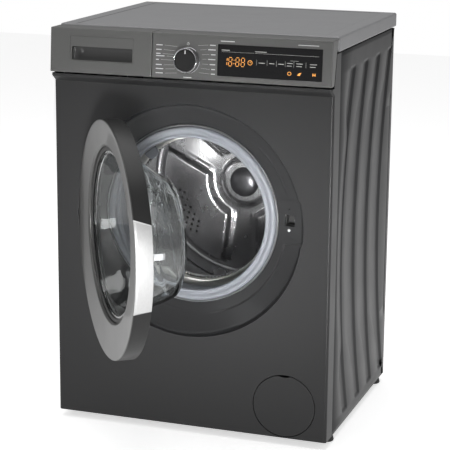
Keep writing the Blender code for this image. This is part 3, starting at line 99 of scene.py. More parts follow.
MACHINE = Matrix.Translation((0, FRONT_Y, 0))
AXIS = MACHINE @ Matrix.Translation((AXIS_X, 0, AXIS_Z))
PANEL = MACHINE @ Matrix.Translation((0, -PANEL_OUT, PANEL_FOOT)) @ Matrix.Rotation(-TILT, 4, "X")
HINGE = (
    MACHINE
    @ Matrix.Translation((HINGE_X, HINGE_Y, RING_Z))
    @ Matrix.Rotation(-DOOR_ANGLE, 4, "Z")
)
RING = MACHINE @ Matrix.Translation((RING_X, 0, RING_Z))
DOOR = HINGE @ Matrix.Translation((RING_X - HINGE_X, -HINGE_Y, 0))
BOWL = DOOR @ Matrix.Translation((SHIFT_X, 0, SHIFT_Z))


def up(z):
    """Distance up the slanted control panel of a height above the floor."""
    return (z - PANEL_FOOT) / cos(TILT)


# ---- materials
def node(tree, kind, **inputs):
    """New shader node. An input given as a socket is linked, and any other is its value."""
    made = tree.nodes.new("ShaderNode" + kind)
    for key, value in inputs.items():
        socket = made.inputs[key.replace("_", " ")]
        if isinstance(value, bpy.types.NodeSocket):
            tree.links.new(value, socket)
        else:
            socket.default_value = value
    return made


def relief(tree, height, strength, distance):
    made = node(tree, "Bump", Height=height, Strength=strength, Distance=distance)
    tree.links.new(made.outputs["Normal"], tree.nodes["Principled BSDF"].inputs["Normal"])


def skin(
    name, colour, rough, metal=0.0, grain=900.0, tint=0.06, bump=0.02, stretch=(1, 1, 1), wear=0.05,
    **sockets,
):
    """Principled material with fine grain in colour and height, and broad wear in roughness."""
    made = bpy.data.materials.new(name)
    made.use_nodes = True
    tree = made.node_tree
    shader = tree.nodes["Principled BSDF"]
    place = node(tree, "TexCoord").outputs["Object"]
    scaled = node(tree, "Mapping", Vector=place, Scale=stretch).outputs["Vector"]
    fine = node(tree, "TexNoise", Vector=scaled, Scale=grain, Detail=3.0).outputs["Fac"]
    ramp = node(tree, "ValToRGB", Fac=fine)
    dark, light = ramp.color_ramp.elements
    dark.position = 0.35
    dark.color = (*(c * (1 - tint) for c in colour), 1)
    light.position = 0.65
    light.color = (*(min(1.0, c * (1 + tint)) for c in colour), 1)
    tree.links.new(ramp.outputs["Color"], shader.inputs["Base Color"])
    broad = node(tree, "TexNoise", Vector=place, Scale=14.0, Detail=4.0).outputs["Fac"]
    spread = node(
        tree, "MapRange", Value=broad, To_Min=max(0.01, rough - wear), To_Max=min(1.0, rough + wear)
    )
    tree.links.new(spread.outputs["Result"], shader.inputs["Roughness"])
    relief(tree, fine, bump, 0.0004)
    shader.inputs["Metallic"].default_value = metal
    for key, value in sockets.items():
        shader.inputs[key.replace("_", " ")].default_value = value
    return made


PAINT = skin("graphite_paint", (0.023, 0.023, 0.0235), 0.42, 0.2, 2600, 0.1, 0.03, Specular_IOR_Level=0.28)
SIDE_PAINT = skin("side_paint", (0.019, 0.019, 0.02), 0.42, 0.2, 2600, 0.08, 0.05, Specular_IOR_Level=0.3)
TOP_PLASTIC = skin("worktop_plastic", (0.185, 0.185, 0.19), 0.42, 0.0, 1500, 0.07, 0.1)
PANEL_PLASTIC = skin("fascia_plastic", (0.086, 0.086, 0.084), 0.4, 0.2, 2200, 0.06, 0.04)
RECESS_PAINT = skin("recess_paint", (0.03, 0.03, 0.031), 0.3, 0.35, 2600, 0.08, 0.02,
                    Specular_IOR_Level=0.4)
# Painted shade: the fascia plastic again, with its colour set far darker inside the drawer's finger scoop.
SCOOP_SHADE_PLASTIC = skin("scoop_painted_shade", (0.016, 0.016, 0.016), 0.45, 0.0, 2200, 0.06, 0.04)
DOOR_PAINT = skin("door_grey", (0.047, 0.047, 0.046), 0.36, 0.45, 2600, 0.05, 0.02, Coat_Weight=0.15)
# Painted shade: the door's grey again, with its colour set far darker on the outer band.
SHADED_BAND_PAINT = skin("door_band_painted_shade", (0.006, 0.006, 0.006), 0.4, 0.0, 2600, 0.05, 0.02,
                  Specular_IOR_Level=0.3)
INSIDE_PAINT = skin("door_inside_grey", (0.05, 0.05, 0.05), 0.42, 0.1, 1800, 0.06, 0.04)
METAL_TRIM = skin("handle_metal", (0.46, 0.46, 0.46), 0.4, 0.85, 900, 0.05, 0.04, (1, 1, 0.04))
BLACK = skin("black_plastic", (0.012, 0.012, 0.012), 0.46, 0.0, 1600, 0.15, 0.12)
GLOSS = skin("black_gloss", (0.004, 0.004, 0.0045), 0.06, 0.0, 400, 0.05, 0.0, wear=0.02)
CHROME = skin("chrome", (0.36, 0.36, 0.37), 0.16, 1.0, 500, 0.02, 0.01, wear=0.03)
CAP = skin("knob_cap", (0.007, 0.007, 0.007), 0.55, 0.0, 900, 0.1, 0.05, Specular_IOR_Level=0.25)
GASKET = skin("gasket_rubber", (0.175, 0.185, 0.205), 0.46, 0.0, 700, 0.03, 0.04, wear=0.08)
ZINC = skin("zinc_steel", (0.46, 0.47, 0.48), 0.38, 1.0, 45, 0.14, 0.05)
CAST = skin("cast_alloy", (0.34, 0.34, 0.345), 0.5, 0.85, 700, 0.1, 0.2)
IRON = skin("cast_weight", (0.2, 0.195, 0.19), 0.85, 0.0, 320, 0.18, 0.6)
TUB = skin("tub_plastic", (0.5, 0.5, 0.48), 0.55, 0.0, 800, 0.05, 0.12)
WHITE = skin("white_plastic", (0.68, 0.68, 0.66), 0.42, 0.0, 900, 0.03, 0.05)
RUBBER = skin("black_rubber", (0.014, 0.014, 0.014), 0.62, 0.0, 900, 0.15, 0.15)
# Pale print for the program marks; on the knob's chrome pointer the same flat pale stands in for its glint,
# a painted highlight.
PRINT_AND_GLINT = skin("pale_print_and_painted_glint", (0.52, 0.52, 0.52), 0.55, 0.0, 900, 0.04, 0.02)
# Painted shade: flat black standing in for the dark seen through the drum wall's holes.
HOLE_SHADE = skin("hole_painted_shade", (0.004, 0.004, 0.004), 0.85, 0.0, 500, 0.1, 0.0)
BRIGHT = skin("bright_catch", (0.8, 0.8, 0.8), 0.2, 0.6, 600, 0.03, 0.02)


def glow(name, colour, strength):
    dim = tuple(0.25 * c for c in colour)
    return skin(name, dim, 0.5, 0.0, 800, 0.05, 0.0, Emission_Color=(*colour, 1),
                Emission_Strength=strength)


AMBER = glow("amber_segments", (1.0, 0.42, 0.08), 1.0)
PALE = glow("pale_marks", (0.75, 0.75, 0.72), 0.32)


def brushed(name, colour, rough):
    """Stainless steel, with its node tree and its object coordinates taken apart."""
    made = skin(name, colour, rough, 1.0, 60, 0.05, 0.06, (1, 1, 1), 0.08)
    tree = made.node_tree
    place = node(tree, "TexCoord").outputs["Object"]
    return made, tree, node(tree, "SeparateXYZ", Vector=place).outputs


def math_node(tree, operation, first, second=None, third=None):
    node = tree.nodes.new("ShaderNodeMath")
    node.operation = operation
    for socket, value in zip(node.inputs, (first, second, third)):
        if value is None:
            continue
        if isinstance(value, (int, float)):
            socket.default_value = value
        else:
            tree.links.new(value, socket)
    return node.outputs[0]


def drum_steel():
    """Stainless sheet with a staggered field of small punched holes, laid out round the axis. The holes are
    coloured black, painted shade for the dark seen through them, with a dimple in the relief round each.
    """
    made, tree, place = brushed("drum_perforated", (0.56, 0.56, 0.57), 0.24)

    def calc(*terms):
        return math_node(tree, *terms)

    pitch = 0.0125
    count = round(2 * pi * DRUM_R / pitch / 2) * 2
    across = calc("MULTIPLY", calc("ARCTAN2", place["Z"], place["X"]), count / (2 * pi))
    along = calc("DIVIDE", place["Y"], pitch)
    odd = calc("MODULO", calc("ABSOLUTE", calc("FLOOR", along)), 2.0)
    shifted = calc("ADD", across, calc("MULTIPLY", odd, 0.5))
    u = calc("SUBTRACT", calc("FRACT", shifted), 0.5)
    v = calc("SUBTRACT", calc("FRACT", along), 0.5)
    far = calc("SQRT", calc("ADD", calc("MULTIPLY", u, u), calc("MULTIPLY", v, v)))
    edge = node(tree, "MapRange", Value=far, From_Min=0.17, From_Max=0.23).outputs["Result"]
    steel = tree.nodes["Principled BSDF"].inputs["Base Color"]
    # Painted shade: each hole is coloured black for the dark seen through it; the sheet itself is not cut.
    mix = tree.nodes.new("ShaderNodeMix")
    mix.data_type = "RGBA"
    mix.inputs["A"].default_value = (0.004, 0.004, 0.004, 1)
    tree.links.new(edge, mix.inputs["Factor"])
    tree.links.new(steel.links[0].from_socket, mix.inputs["B"])
    tree.links.new(mix.outputs["Result"], steel)
    dimple = node(tree, "MapRange", Value=far, From_Min=0.16, From_Max=0.42)
    dimple.interpolation_type = "SMOOTHSTEP"
    relief(tree, dimple.outputs["Result"], 0.8, 0.0012)
    return made


def back_steel():
    """Pressed stainless wall, brushed across so that highlights run in streaks."""
    made, tree, place = brushed("drum_wall", (0.6, 0.6, 0.61), 0.26)
    across = math_node(tree, "MULTIPLY", place["X"], 5.0)
    upward = math_node(tree, "MULTIPLY", place["Z"], 0.45)
    flat = node(tree, "CombineXYZ", X=across, Z=upward).outputs["Vector"]
    streak = node(tree, "TexNoise", Vector=flat, Scale=42.0, Detail=6.0)
    relief(tree, streak.outputs["Fac"], 0.22, 0.001)
    return made


DRUM_STEEL = drum_steel()
WALL_STEEL = back_steel()
# Painted shade: the drum's stainless steel again, with its colour set far darker for the hub dome.
SHADED_HUB_STEEL = skin("hub_steel_painted_shade", (0.085, 0.085, 0.09), 0.34, 0.8, 70, 0.06, 0.03)
LIFTER_STEEL = skin("lifter_steel", (0.5, 0.5, 0.51), 0.24, 1.0, 70, 0.06, 0.05)


def glass():
    """Clear glass with the slow waves of a pressed bowl."""
    made = skin("clear_glass", (0.94, 0.965, 0.96), 0.012, 0.0, 30, 0.005, 0.0, wear=0.008,
                Transmission_Weight=1.0, IOR=1.47)
    tree = made.node_tree
    place = node(tree, "TexCoord").outputs["Object"]
    wave = node(tree, "TexNoise", Vector=place, Scale=16.0, Detail=1.5)
    relief(tree, wave.outputs["Fac"], 0.35, 0.0035)
    return made


GLASS = glass()


# ---- mesh helpers
def placed(name, data):
    made = bpy.data.objects.new(name, data)
    bpy.context.scene.collection.objects.link(made)
    return made


def finish_mesh(bm, name, material, body, space=MACHINE, replaces=(), slot=None, angle=32):
    mesh = bpy.data.meshes.new(name)
    bmesh.ops.recalc_face_normals(bm, faces=bm.faces)
    bm.to_mesh(mesh)
    bm.free()
    mesh.materials.append(material)
    mesh.shade_smooth()
    mesh.set_sharp_from_angle(angle=radians(angle))
    made = placed(name, mesh)
    made.matrix_world = space
    if body:
        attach(made, body)
        if replaces:
            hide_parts(*replaces)
    return made


def bridge(bm, rings, around=True):
    """Faces between each ring or row of vertices and the next, where a lone vertex makes a tip."""
    made = []
    for one, two in zip(rings, rings[1:]):
        count = max(len(one), len(two))
        if count == 1:
            continue
        for i in range(count if around else count - 1):
            j = (i + 1) % count
            corners = (one[i % len(one)], one[j % len(one)], two[j % len(two)], two[i % len(two)])
            made.append(bm.faces.new(tuple(dict.fromkeys(corners))))
    return made


def shut(bm, rings, around=True):
    """Joins the rings and closes both ends."""
    bm.faces.new(rings[0])
    bm.faces.new(rings[-1][::-1])
    return bridge(bm, rings, around)


def circle(x, z, r, count):
    turns = [2 * pi * i / count for i in range(count)]
    return [(x + r * cos(a), z + r * sin(a)) for a in turns]


def soften(points, steps=4, closed=True):
    """Rounds each corner of a polyline given as (a, b, radius)."""
    count = len(points)
    out = []
    for i, point in enumerate(points):
        a, b = point[0], point[1]
        radius = point[2] if len(point) > 2 else 0.0
        inner = closed or 0 < i < count - 1
        if not radius or not inner:
            out.append((a, b))
            continue
        here = Vector((a, b))
        before = Vector(points[i - 1][:2])
        after = Vector(points[(i + 1) % count][:2])
        one = (before - here).normalized()
        two = (after - here).normalized()
        reach = min(radius, 0.48 * (before - here).length, 0.48 * (after - here).length)
        start = here + one * reach
        end = here + two * reach
        for k in range(steps + 1):
            t = k / steps
            p = start * (1 - t) ** 2 + here * 2 * t * (1 - t) + end * t * t
            out.append((p.x, p.y))
    return out


def lathe(
    name, profile, material, body, space=AXIS, steps=ROUND, along="Y", closed=True, lean=None, **keys
):
    """Turns a profile of (radius, distance along the axis) round the Y or Z axis. Between the
    two radii of lean, the centre moves from the door ring's to the drum's."""
    bm = bmesh.new()
    rings = []
    for radius, h in profile:
        share = (lean[0] - radius) / (lean[0] - lean[1]) if lean else 0.0
        share = min(1.0, max(0.0, share))
        if radius < 1e-6:
            rings.append([bm.verts.new((0, h, 0) if along == "Y" else (0, 0, h))])
            continue
        ring = []
        for i in range(steps):
            a = 2 * pi * i / steps
            c, s = radius * cos(a), radius * sin(a)
            c, s = c + share * SHIFT_X, s + share * SHIFT_Z
            ring.append(bm.verts.new((c, h, s) if along == "Y" else (c, s, h)))
        rings.append(ring)
    bridge(bm, rings + rings[:1] if closed and len(rings[0]) > 1 else rings)
    return finish_mesh(bm, name, material, body, space, **keys)


def slab(name, outline, y0, y1, material, body, space=MACHINE, **keys):
    """An outline of (x, z) points carried along y."""
    bm = bmesh.new()
    shut(bm, [[bm.verts.new((x, y, z)) for x, z in outline] for y in (y0, y1)])
    return finish_mesh(bm, name, material, body, space, **keys)


def prism(name, outline, x0, x1, material):
    """An outline of (y, z) points carried along x."""
    bm = bmesh.new()
    shut(bm, [[bm.verts.new((x, y, z)) for y, z in outline] for x in (x0, x1)])
    return finish_mesh(bm, name, material, None)


def pierce(made, outline, y0, y1, space=MACHINE):
    """Cuts an outline of (x, z) points through the piece between two depths."""
    return cut(made, slab("tool", outline, y0, y1, made.data.materials[0], None, space))


def rect(x0, z0, x1, z1, radius=0.0, steps=5):
    return soften([(x0, z0, radius), (x1, z0, radius), (x1, z1, radius), (x0, z1, radius)], steps)


def block(name, low, high, material, body, space=MACHINE, **keys):
    x0, y0, z0 = low
    x1, y1, z1 = high
    return slab(name, rect(x0, z0, x1, z1), y0, y1, material, body, space, **keys)


def bevel(made, width, segments=3, angle=30):
    change = made.modifiers.new("edges", "BEVEL")
    change.width = width
    change.segments = segments
    change.limit_method = "ANGLE"
    change.angle_limit = radians(angle)
    change.harden_normals = False
    return made


def even_normals(made):
    change = made.modifiers.new("normals", "WEIGHTED_NORMAL")
    change.keep_sharp = True
    return made


def cut(made, tool, operation="DIFFERENCE"):
    change = made.modifiers.new("cut", "BOOLEAN")
    change.operation = operation
    change.object = tool
    change.solver = "EXACT"
    made["tools"] = list(made.get("tools", [])) + [tool.name]
    return made


def settle(made, angle=32):
    """Applies the modifiers, drops the tools and shades the result."""
    bpy.context.view_layer.update()
    graph = bpy.context.evaluated_depsgraph_get()
    mesh = bpy.data.meshes.new_from_object(made.evaluated_get(graph))
    tools = [bpy.data.objects[n] for n in made.get("tools", [])]
    made.modifiers.clear()
    made.data = mesh
    for tool in tools:
        bpy.data.objects.remove(tool, do_unlink=True)
    if "tools" in made:
        del made["tools"]
    mesh.shade_smooth()
    mesh.set_sharp_from_angle(angle=radians(angle))
    return made


def smooth(t):
    t = np.clip(t, 0.0, 1.0)
    return t * t * (3 - 2 * t)


# ---- front panel and door recess
NOTCH = 0.003
LIP_ROUND = 0.0016


def recess_radius(angle):
    """Radius of the recess edge: a circle that steps out beside the lock."""
    z = RING_Z + RECESS_R * np.sin(angle)
    wide = smooth((z - 0.424) / 0.008) * smooth((0.52 - z) / 0.008) * (np.cos(angle) > 0)
    return RECESS_R + NOTCH * wide


def front_panel():
    outline = [
        (0.045, 0.016), (0.0, 0.016), (0.0, 0.731), (-0.015, 0.742), (-0.015, 0.748), (0.0011, 0.748),
        (0.0158, SIDE_TOP), (0.045, SIDE_TOP),
    ]
    bm = bmesh.new()
    sides = [[bm.verts.new((x, y, z)) for y, z in outline] for x in (-HALF, HALF)]
    walls = shut(bm, sides)
    bmesh.ops.recalc_face_normals(bm, faces=bm.faces)
    corners = [
        edge
        for side in sides
        for i, j in ((1, 2), (2, 3), (3, 4))
        for edge in bm.edges
        if set(edge.verts) == {side[i], side[j]}
    ]
    bmesh.ops.delete(bm, geom=walls[4:8], context="FACES")
    bmesh.ops.bevel(bm, geom=corners, offset=0.0055, segments=8, affect="EDGES", profile=0.5)
    folds = [
        edge
        for edge in bm.edges
        if len(edge.link_faces) == 2
        and edge.calc_face_angle() > 0.4
        and abs(edge.verts[0].co.z - edge.verts[1].co.z) < 1e-5
        and edge.verts[0].co.z > 0.5
        and edge.calc_length() > 0.1
    ]
    bmesh.ops.bevel(bm, geom=folds, offset=0.0012, segments=3, affect="EDGES", profile=0.5)
    mesh = bpy.data.meshes.new("front_panel_skin")
    bm.to_mesh(mesh)
    bm.free()
    mesh.materials.append(PAINT)
    made = placed("front_panel_skin", mesh)
    made.matrix_world = MACHINE
    shell = made.modifiers.new("sheet", "SOLIDIFY")
    shell.thickness = 0.0012
    shell.offset = -1
    shell.use_even_offset = True
    angles = np.linspace(0, 2 * pi, 360, endpoint=False)
    edge = recess_radius(angles) + LIP_ROUND
    hole = list(zip(RING_X + edge * np.cos(angles), RING_Z + edge * np.sin(angles)))
    pierce(made, hole, -0.02, 0.02)
    pierce(made, circle(COVER_X, COVER_Z, COVER_R + 0.0016, 128), -0.02, 0.02)
    settle(made)
    even_normals(made)
    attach(made, "cabinet")
    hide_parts("front_panel")
    rim = [
        (COVER_R + 0.0019, 0.0003), (COVER_R + 0.0016, 0.0), (COVER_R + 0.001, 0.0004),
        (COVER_R + 0.0008, 0.0012), (COVER_R + 0.0008, 0.0075), (COVER_R - 0.003, 0.0085),
        (COVER_R - 0.003, 0.0095), (COVER_R + 0.0019, 0.0095),
    ]
    where = MACHINE @ Matrix.Translation((COVER_X, 0, COVER_Z))
    ring = lathe("cover_hole_rim", rim, PAINT, "cabinet", where, 128)


def dish():
    """The recess: rounded lip, steep wall, then a slope down to the gasket, with the finger
    pocket let into its lower right part."""
    steps = 540
    angles = np.linspace(0, 2 * pi, steps, endpoint=False)
    rim = recess_radius(angles)
    wall = soften(
        [
            (LIP_ROUND, 0.0), (0.0, 0.0, 0.0016), (-0.0026, 0.0098, 0.003), (-0.0085, 0.0132, 0.003),
            (-0.01, 0.0138),
        ],
        5, False,
    )
    wall.insert(0, (LIP_ROUND + 0.0005, 0.0006))
    rows = [(rim + a, np.full(steps, b), 0.0) for a, b in wall]
    last_r, last_y, _ = rows[-1]
    for t in np.linspace(0, 1, 44)[1:]:
        r = last_r * (1 - t) + DISH_R * t
        y = last_y * (1 - t) + DISH_Y * t
        rows.append((r, y, t))
    rows.append((np.full(steps, DISH_R - 0.0006), np.full(steps, DISH_Y + 0.002), 1.0))
    rows.append((np.full(steps, DISH_R - 0.001), np.full(steps, DISH_Y + 0.009), 1.0))
    verts = []
    for index, (r, y, share) in enumerate(rows):
        x = r * np.cos(angles) + share * SHIFT_X
        z = r * np.sin(angles) + share * SHIFT_Z
        y = y.copy()
        r = np.hypot(x, z)
        degrees = np.degrees(np.arctan2(z, x))
        if index > 12:
            bound = RING_Z + z - (0.4195 + (x + RING_X - 0.193) * 0.23)
            below = smooth((-bound + 0.0015) / 0.004) * (x > 0)
            outside = smooth((r - 0.1975) / 0.0045)
            fade = smooth((degrees + 88) / 30)
            pocket = below * outside * fade
            pocket *= (index < len(rows) - 3) * smooth((rim - 0.0005 - r) / 0.006)
            y += 0.0048 * pocket
            crease = np.exp(-(((r - 0.215) / 0.0018) ** 2))
            crease *= smooth((degrees - 16) / 10) * smooth((62 - degrees) / 22)
            y -= 0.0009 * crease
            sweep = np.exp(-(((r - 0.1975) / 0.002) ** 2))
            sweep *= smooth((degrees + 150) / 40) * smooth((-70 - degrees) / 25)
            y -= 0.0006 * sweep
        verts.append(np.stack([x, y, z], 1))
    bm = bmesh.new()
    bridge(bm, [[bm.verts.new(p) for p in row] for row in verts])
    made = finish_mesh(bm, "door_recess", RECESS_PAINT, None, RING)
    shell = made.modifiers.new("sheet", "SOLIDIFY")
    shell.thickness = 0.001
    shell.offset = 1 if made.data.polygons[0].normal.y > 0 else -1
    half = 0.0118
    square = rect(LATCH_X - half, LATCH_Z - half, LATCH_X + half, LATCH_Z + half, 0.0012, 3)
    pierce(made, square, 0.005, 0.05)
    for x, z, r in ((0.2036, 0.4506, 0.0038), (0.2045, 0.4947, 0.0019)):
        pierce(made, circle(x, z, r, 32), 0.005, 0.05)
    settle(made, 40)
    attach(made, "cabinet")
    pin = [(0, -0.003), (0.0022, -0.0028), (0.0032, -0.0016), (0.0034, 0.0), (0.0034, 0.006), (0, 0.006)]
    where = MACHINE @ Matrix.Translation((0.2036, 0.0262, 0.4506))
    lathe("lock_pin", pin, BRIGHT, "cabinet", where, 40, closed=False)
    catch = rect(-0.0012, -0.0022, 0.0012, 0.0022, 0.0006, 3)
    where = MACHINE @ Matrix.Translation((LATCH_X + 0.0085, 0, LATCH_Z - 0.001))
    slab("lock_catch", catch, 0.033, 0.04, BRIGHT, "cabinet", where)


def filter_cover():
    """Round cover with a rounded edge and a shallow finger notch at its top."""
    steps = 160
    angles = np.linspace(0, 2 * pi, steps, endpoint=False)
    profile = soften(
        [(0.0, 0.0), (COVER_R, 0.0, 0.0016), (COVER_R, 0.0055, 0.0004), (0.0, 0.0055)], 5, False
    )
    bm = bmesh.new()
    rings = []
    for r, y in profile:
        if r < 1e-6:
            rings.append([bm.verts.new((0, y, 0))])
            continue
        dip = np.exp(-((((np.degrees(angles) - 90 + 180) % 360 - 180) / 9.0) ** 4))
        rr = r - 0.0042 * dip * (r > 0.05)
        rings.append([bm.verts.new((a * cos(t), y, a * sin(t))) for a, t in zip(rr, angles)])
    bridge(bm, rings)
    where = MACHINE @ Matrix.Translation((COVER_X, 0.0002, COVER_Z))
    made = finish_mesh(
        bm, "filter_cover_cap", PAINT, "cover", where, ("filter_cover",), "graphite_paint"
    )
    return even_normals(made)


# ---- side panels
RIB_FIRST = 0.0885
RIB_PITCH = 0.102
RIB_BOW = 0.56
RIB_MID = 0.41
RIB_BOTTOM = 0.036
RIB_TOP = 0.776
RIB_DEPTH = 0.0042


def side_panel(name, side, node):
    """Sheet with four bowed pockets that ramp in from the front and step out at the rear."""
    levels = np.unique(
        np.concatenate(
            [
                np.linspace(0.0165, SIDE_TOP, 90),
                np.linspace(RIB_BOTTOM - 0.004, RIB_BOTTOM + 0.016, 12),
                np.linspace(RIB_TOP - 0.016, RIB_TOP + 0.004, 12),
            ]
        ).round(5)
    )
    bm = bmesh.new()
    grid = []
    for z in levels:
        ends = smooth((z - RIB_BOTTOM) / 0.01) * smooth((RIB_TOP - z) / 0.01)
        near = max(smooth((0.22 - z) / 0.12), smooth((z - 0.62) / 0.1))
        row = [(HALF - 0.016, SIDE_FRONT), (HALF - 0.0012, SIDE_FRONT), (HALF, SIDE_FRONT + 0.0012)]
        bow = RIB_BOW * (z - RIB_MID) ** 2
        for index in range(4):
            line = RIB_FIRST + index * RIB_PITCH + bow
            back = line - 0.04 * near - (0.082 if index else 0.032) * (1 - near)
            back = max(back, SIDE_FRONT + 0.006)
            sharp = 0.0035 + 0.03 * (1 - near)
            depth = RIB_DEPTH * ends
            low = HALF - depth
            row.append((HALF, back - 0.0015))
            row.append((HALF - 0.15 * depth * near, back))
            row.append((HALF - depth * (0.35 + 0.45 * near), back + sharp * 0.6))
            row.append((HALF - depth * (0.55 + 0.42 * near), back + sharp))
            row.append((low + 0.08 * depth, (back + sharp) * 0.4 + (line - 0.008) * 0.6))
            row.append((low, line - 0.0065))
            row.append((low + 0.1 * depth, line - 0.005))
            row.append((HALF - 0.1 * depth, line - 0.0008))
            row.append((HALF, line + 0.0008))
        straight = 0.467
        flute = smooth((z - 0.16) / 0.02) * smooth((0.675 - z) / 0.02) * 0.0022
        for offset, share in ((-0.0032, 0), (-0.0014, 1), (0.0006, 1), (0.0022, 0)):
            row.append((HALF - flute * share, straight + offset))
        row += [(HALF, CABINET_BACK - 0.0014), (HALF - 0.0012, CABINET_BACK), (HALF - 0.018, CABINET_BACK)]
        grid.append([bm.verts.new((side * x, y, z)) for x, y in row])
    bridge(bm, grid, False)
    if side < 0:
        bmesh.ops.reverse_faces(bm, faces=bm.faces)
    mesh = bpy.data.meshes.new(name)
    bm.to_mesh(mesh)
    bm.free()
    mesh.materials.append(SIDE_PAINT)
    mesh.shade_smooth()
    mesh.set_sharp_from_angle(angle=radians(50))
    made = placed(name, mesh)
    made.matrix_world = MACHINE
    shell = made.modifiers.new("sheet", "SOLIDIFY")
    shell.thickness = 0.0009
    shell.offset = -1
    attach(made, "cabinet")
    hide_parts(node)
    return made


# ---- worktop
def worktop():
    z0 = HEIGHT - 0.0305
    outer = rect(-HALF, 0.031, HALF, 0.506, 0.006, 5)
    bm = bmesh.new()
    shut(bm, [[bm.verts.new((x, y, z)) for x, y in outer] for z in (z0, HEIGHT)])
    made = finish_mesh(bm, "worktop_surround", TOP_PLASTIC, None, MACHINE)
    bevel(made, 0.0042, 5)
    board_x = 0.266
    y0, y1 = 0.0385, 0.483

    def tool(x0, a, x1, b, low, high):
        cut(made, block("tool", (x0, a, low), (x1, b, high), TOP_PLASTIC, None))

    tool(-board_x, y0, board_x, y1, z0 + 0.0095, HEIGHT + 0.01)
    tool(-HALF + 0.011, 0.042, HALF - 0.011, 0.495, z0 - 0.01, z0 + 0.0055)
    for seam in (0.07, 0.47):
        for x0, x1 in ((-HALF - 0.01, -board_x - 0.002), (board_x + 0.002, HALF + 0.01)):
            tool(x0, seam, x1, seam + 0.0006, HEIGHT - 0.0006, HEIGHT + 0.01)
    settle(made)
    bevel(made, 0.0005, 2, 40)
    even_normals(made)
    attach(made, "cabinet")
    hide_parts("worktop_frame")
    board = block(
        "worktop_panel", (-board_x + 0.0009, y0 + 0.0009, z0 + 0.0099),
        (board_x - 0.0009, y1 - 0.0009, HEIGHT - 0.0004), TOP_PLASTIC, "cabinet",
        replaces=("worktop_board",), slot="worktop_plastic",
    )
    even_normals(bevel(board, 0.001, 3))


# ---- control panel and drawer
def fascia_outline():
    return [
        (-PANEL_OUT, PANEL_FOOT), (0.0003, PANEL_FOOT), (0.0208, 0.8385), (0.0304, 0.8385),
        (0.0304, PANEL_HEAD), (-PANEL_HEAD_OUT, PANEL_HEAD),
    ]


HANDLE = (-0.254, 0.7765, -0.1155, 0.8262)
SCOOP = (-0.251, 0.7775, -0.1174, 0.806)
GLASS_BOX = (0.0633, 0.763, 0.278, 0.825)


def control_panel():
    made = prism("control_panel", fascia_outline(), -0.075, HALF - 0.0003, PANEL_PLASTIC)
    inner = [(-0.0178, 0.7545), (0.04, 0.7545), (0.04, 0.838), (-0.0112, 0.838)]
    bevel(made, 0.0022, 5)
    cut(made, prism("tool_hollow", inner, -0.0725, HALF - 0.0028, PANEL_PLASTIC))
    x0, z0, x1, z1 = GLASS_BOX
    window = rect(x0 - 0.0005, up(z0) - 0.0005, x1 + 0.0005, up(z1) + 0.0005, 0.0014, 3)
    pierce(made, window, -0.01, 0.0021, PANEL)
    settle(made)
    even_normals(made)
    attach(made, "cabinet")
    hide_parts("control_fascia")
    pane = slab(
        "display_pane", rect(x0, up(z0), x1, up(z1), 0.0012, 3), 0.0001, 0.0016, GLOSS, "cabinet",
        PANEL, replaces=("display_glass",), slot="black_gloss",
    )
    even_normals(bevel(pane, 0.0003, 2))


def drawer():
    made = prism("drawer_face", fascia_outline(), -HALF + 0.0003, -0.0762, PANEL_PLASTIC)
    bevel(made, 0.0022, 5)
    x0, z0, x1, z1 = HANDLE
    frame_hole = rect(x0 - 0.0005, up(z0) - 0.0005, x1 + 0.0005, up(z1) + 0.0005, 0.0016, 3)
    pierce(made, frame_hole, -0.01, 0.001, PANEL)
    sx0, sz0, sx1, sz1 = SCOOP
    scoop = rect(sx0, up(sz0), sx1, up(sz1), 0.003, 4)
    pierce(made, scoop, -0.01, 0.017, PANEL)
    settle(made)
    even_normals(made)
    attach(made, "drawer")
    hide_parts("drawer_front")
    plate_outline = rect(x0, up(z0), x1, up(z1), 0.0014, 3)
    plate = slab("drawer_handle_plate", plate_outline, 0.0002, 0.0009, PANEL_PLASTIC, None, PANEL)
    mouth = rect(sx0 + 0.0008, up(sz0) + 0.0008, sx1 - 0.0008, up(sz1) - 0.0004, 0.003, 4)
    pierce(plate, mouth, -0.01, 0.01, PANEL)
    settle(plate)
    bevel(plate, 0.0003, 2)
    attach(plate, "drawer")
    bm = bmesh.new()
    rows = []
    columns = np.linspace(sx0 + 0.0007, sx1 - 0.0007, 40)
    for t in np.linspace(0, 1, 14):
        z = up(sz0) + 0.0006 + (up(sz1) - up(sz0) - 0.0012) * t
        row = []
        for x in columns:
            end = smooth((x - sx0 - 0.0005) / 0.02) * smooth((sx1 - 0.0005 - x) / 0.004)
            depth = 0.0035 + 0.012 * sin(pi * min(1.0, 0.12 + 0.62 * t)) * end
            row.append(bm.verts.new((x, min(depth, 0.0158), z)))
        rows.append(row)
    bridge(bm, rows, False)
    # The inside of the finger scoop is darkened with painted shade.
    shell = finish_mesh(bm, "drawer_finger_scoop", SCOOP_SHADE_PLASTIC, "drawer", PANEL, slot="fascia_plastic")
    thick = shell.modifiers.new("wall", "SOLIDIFY")
    thick.thickness = 0.0006
    thick.offset = 0


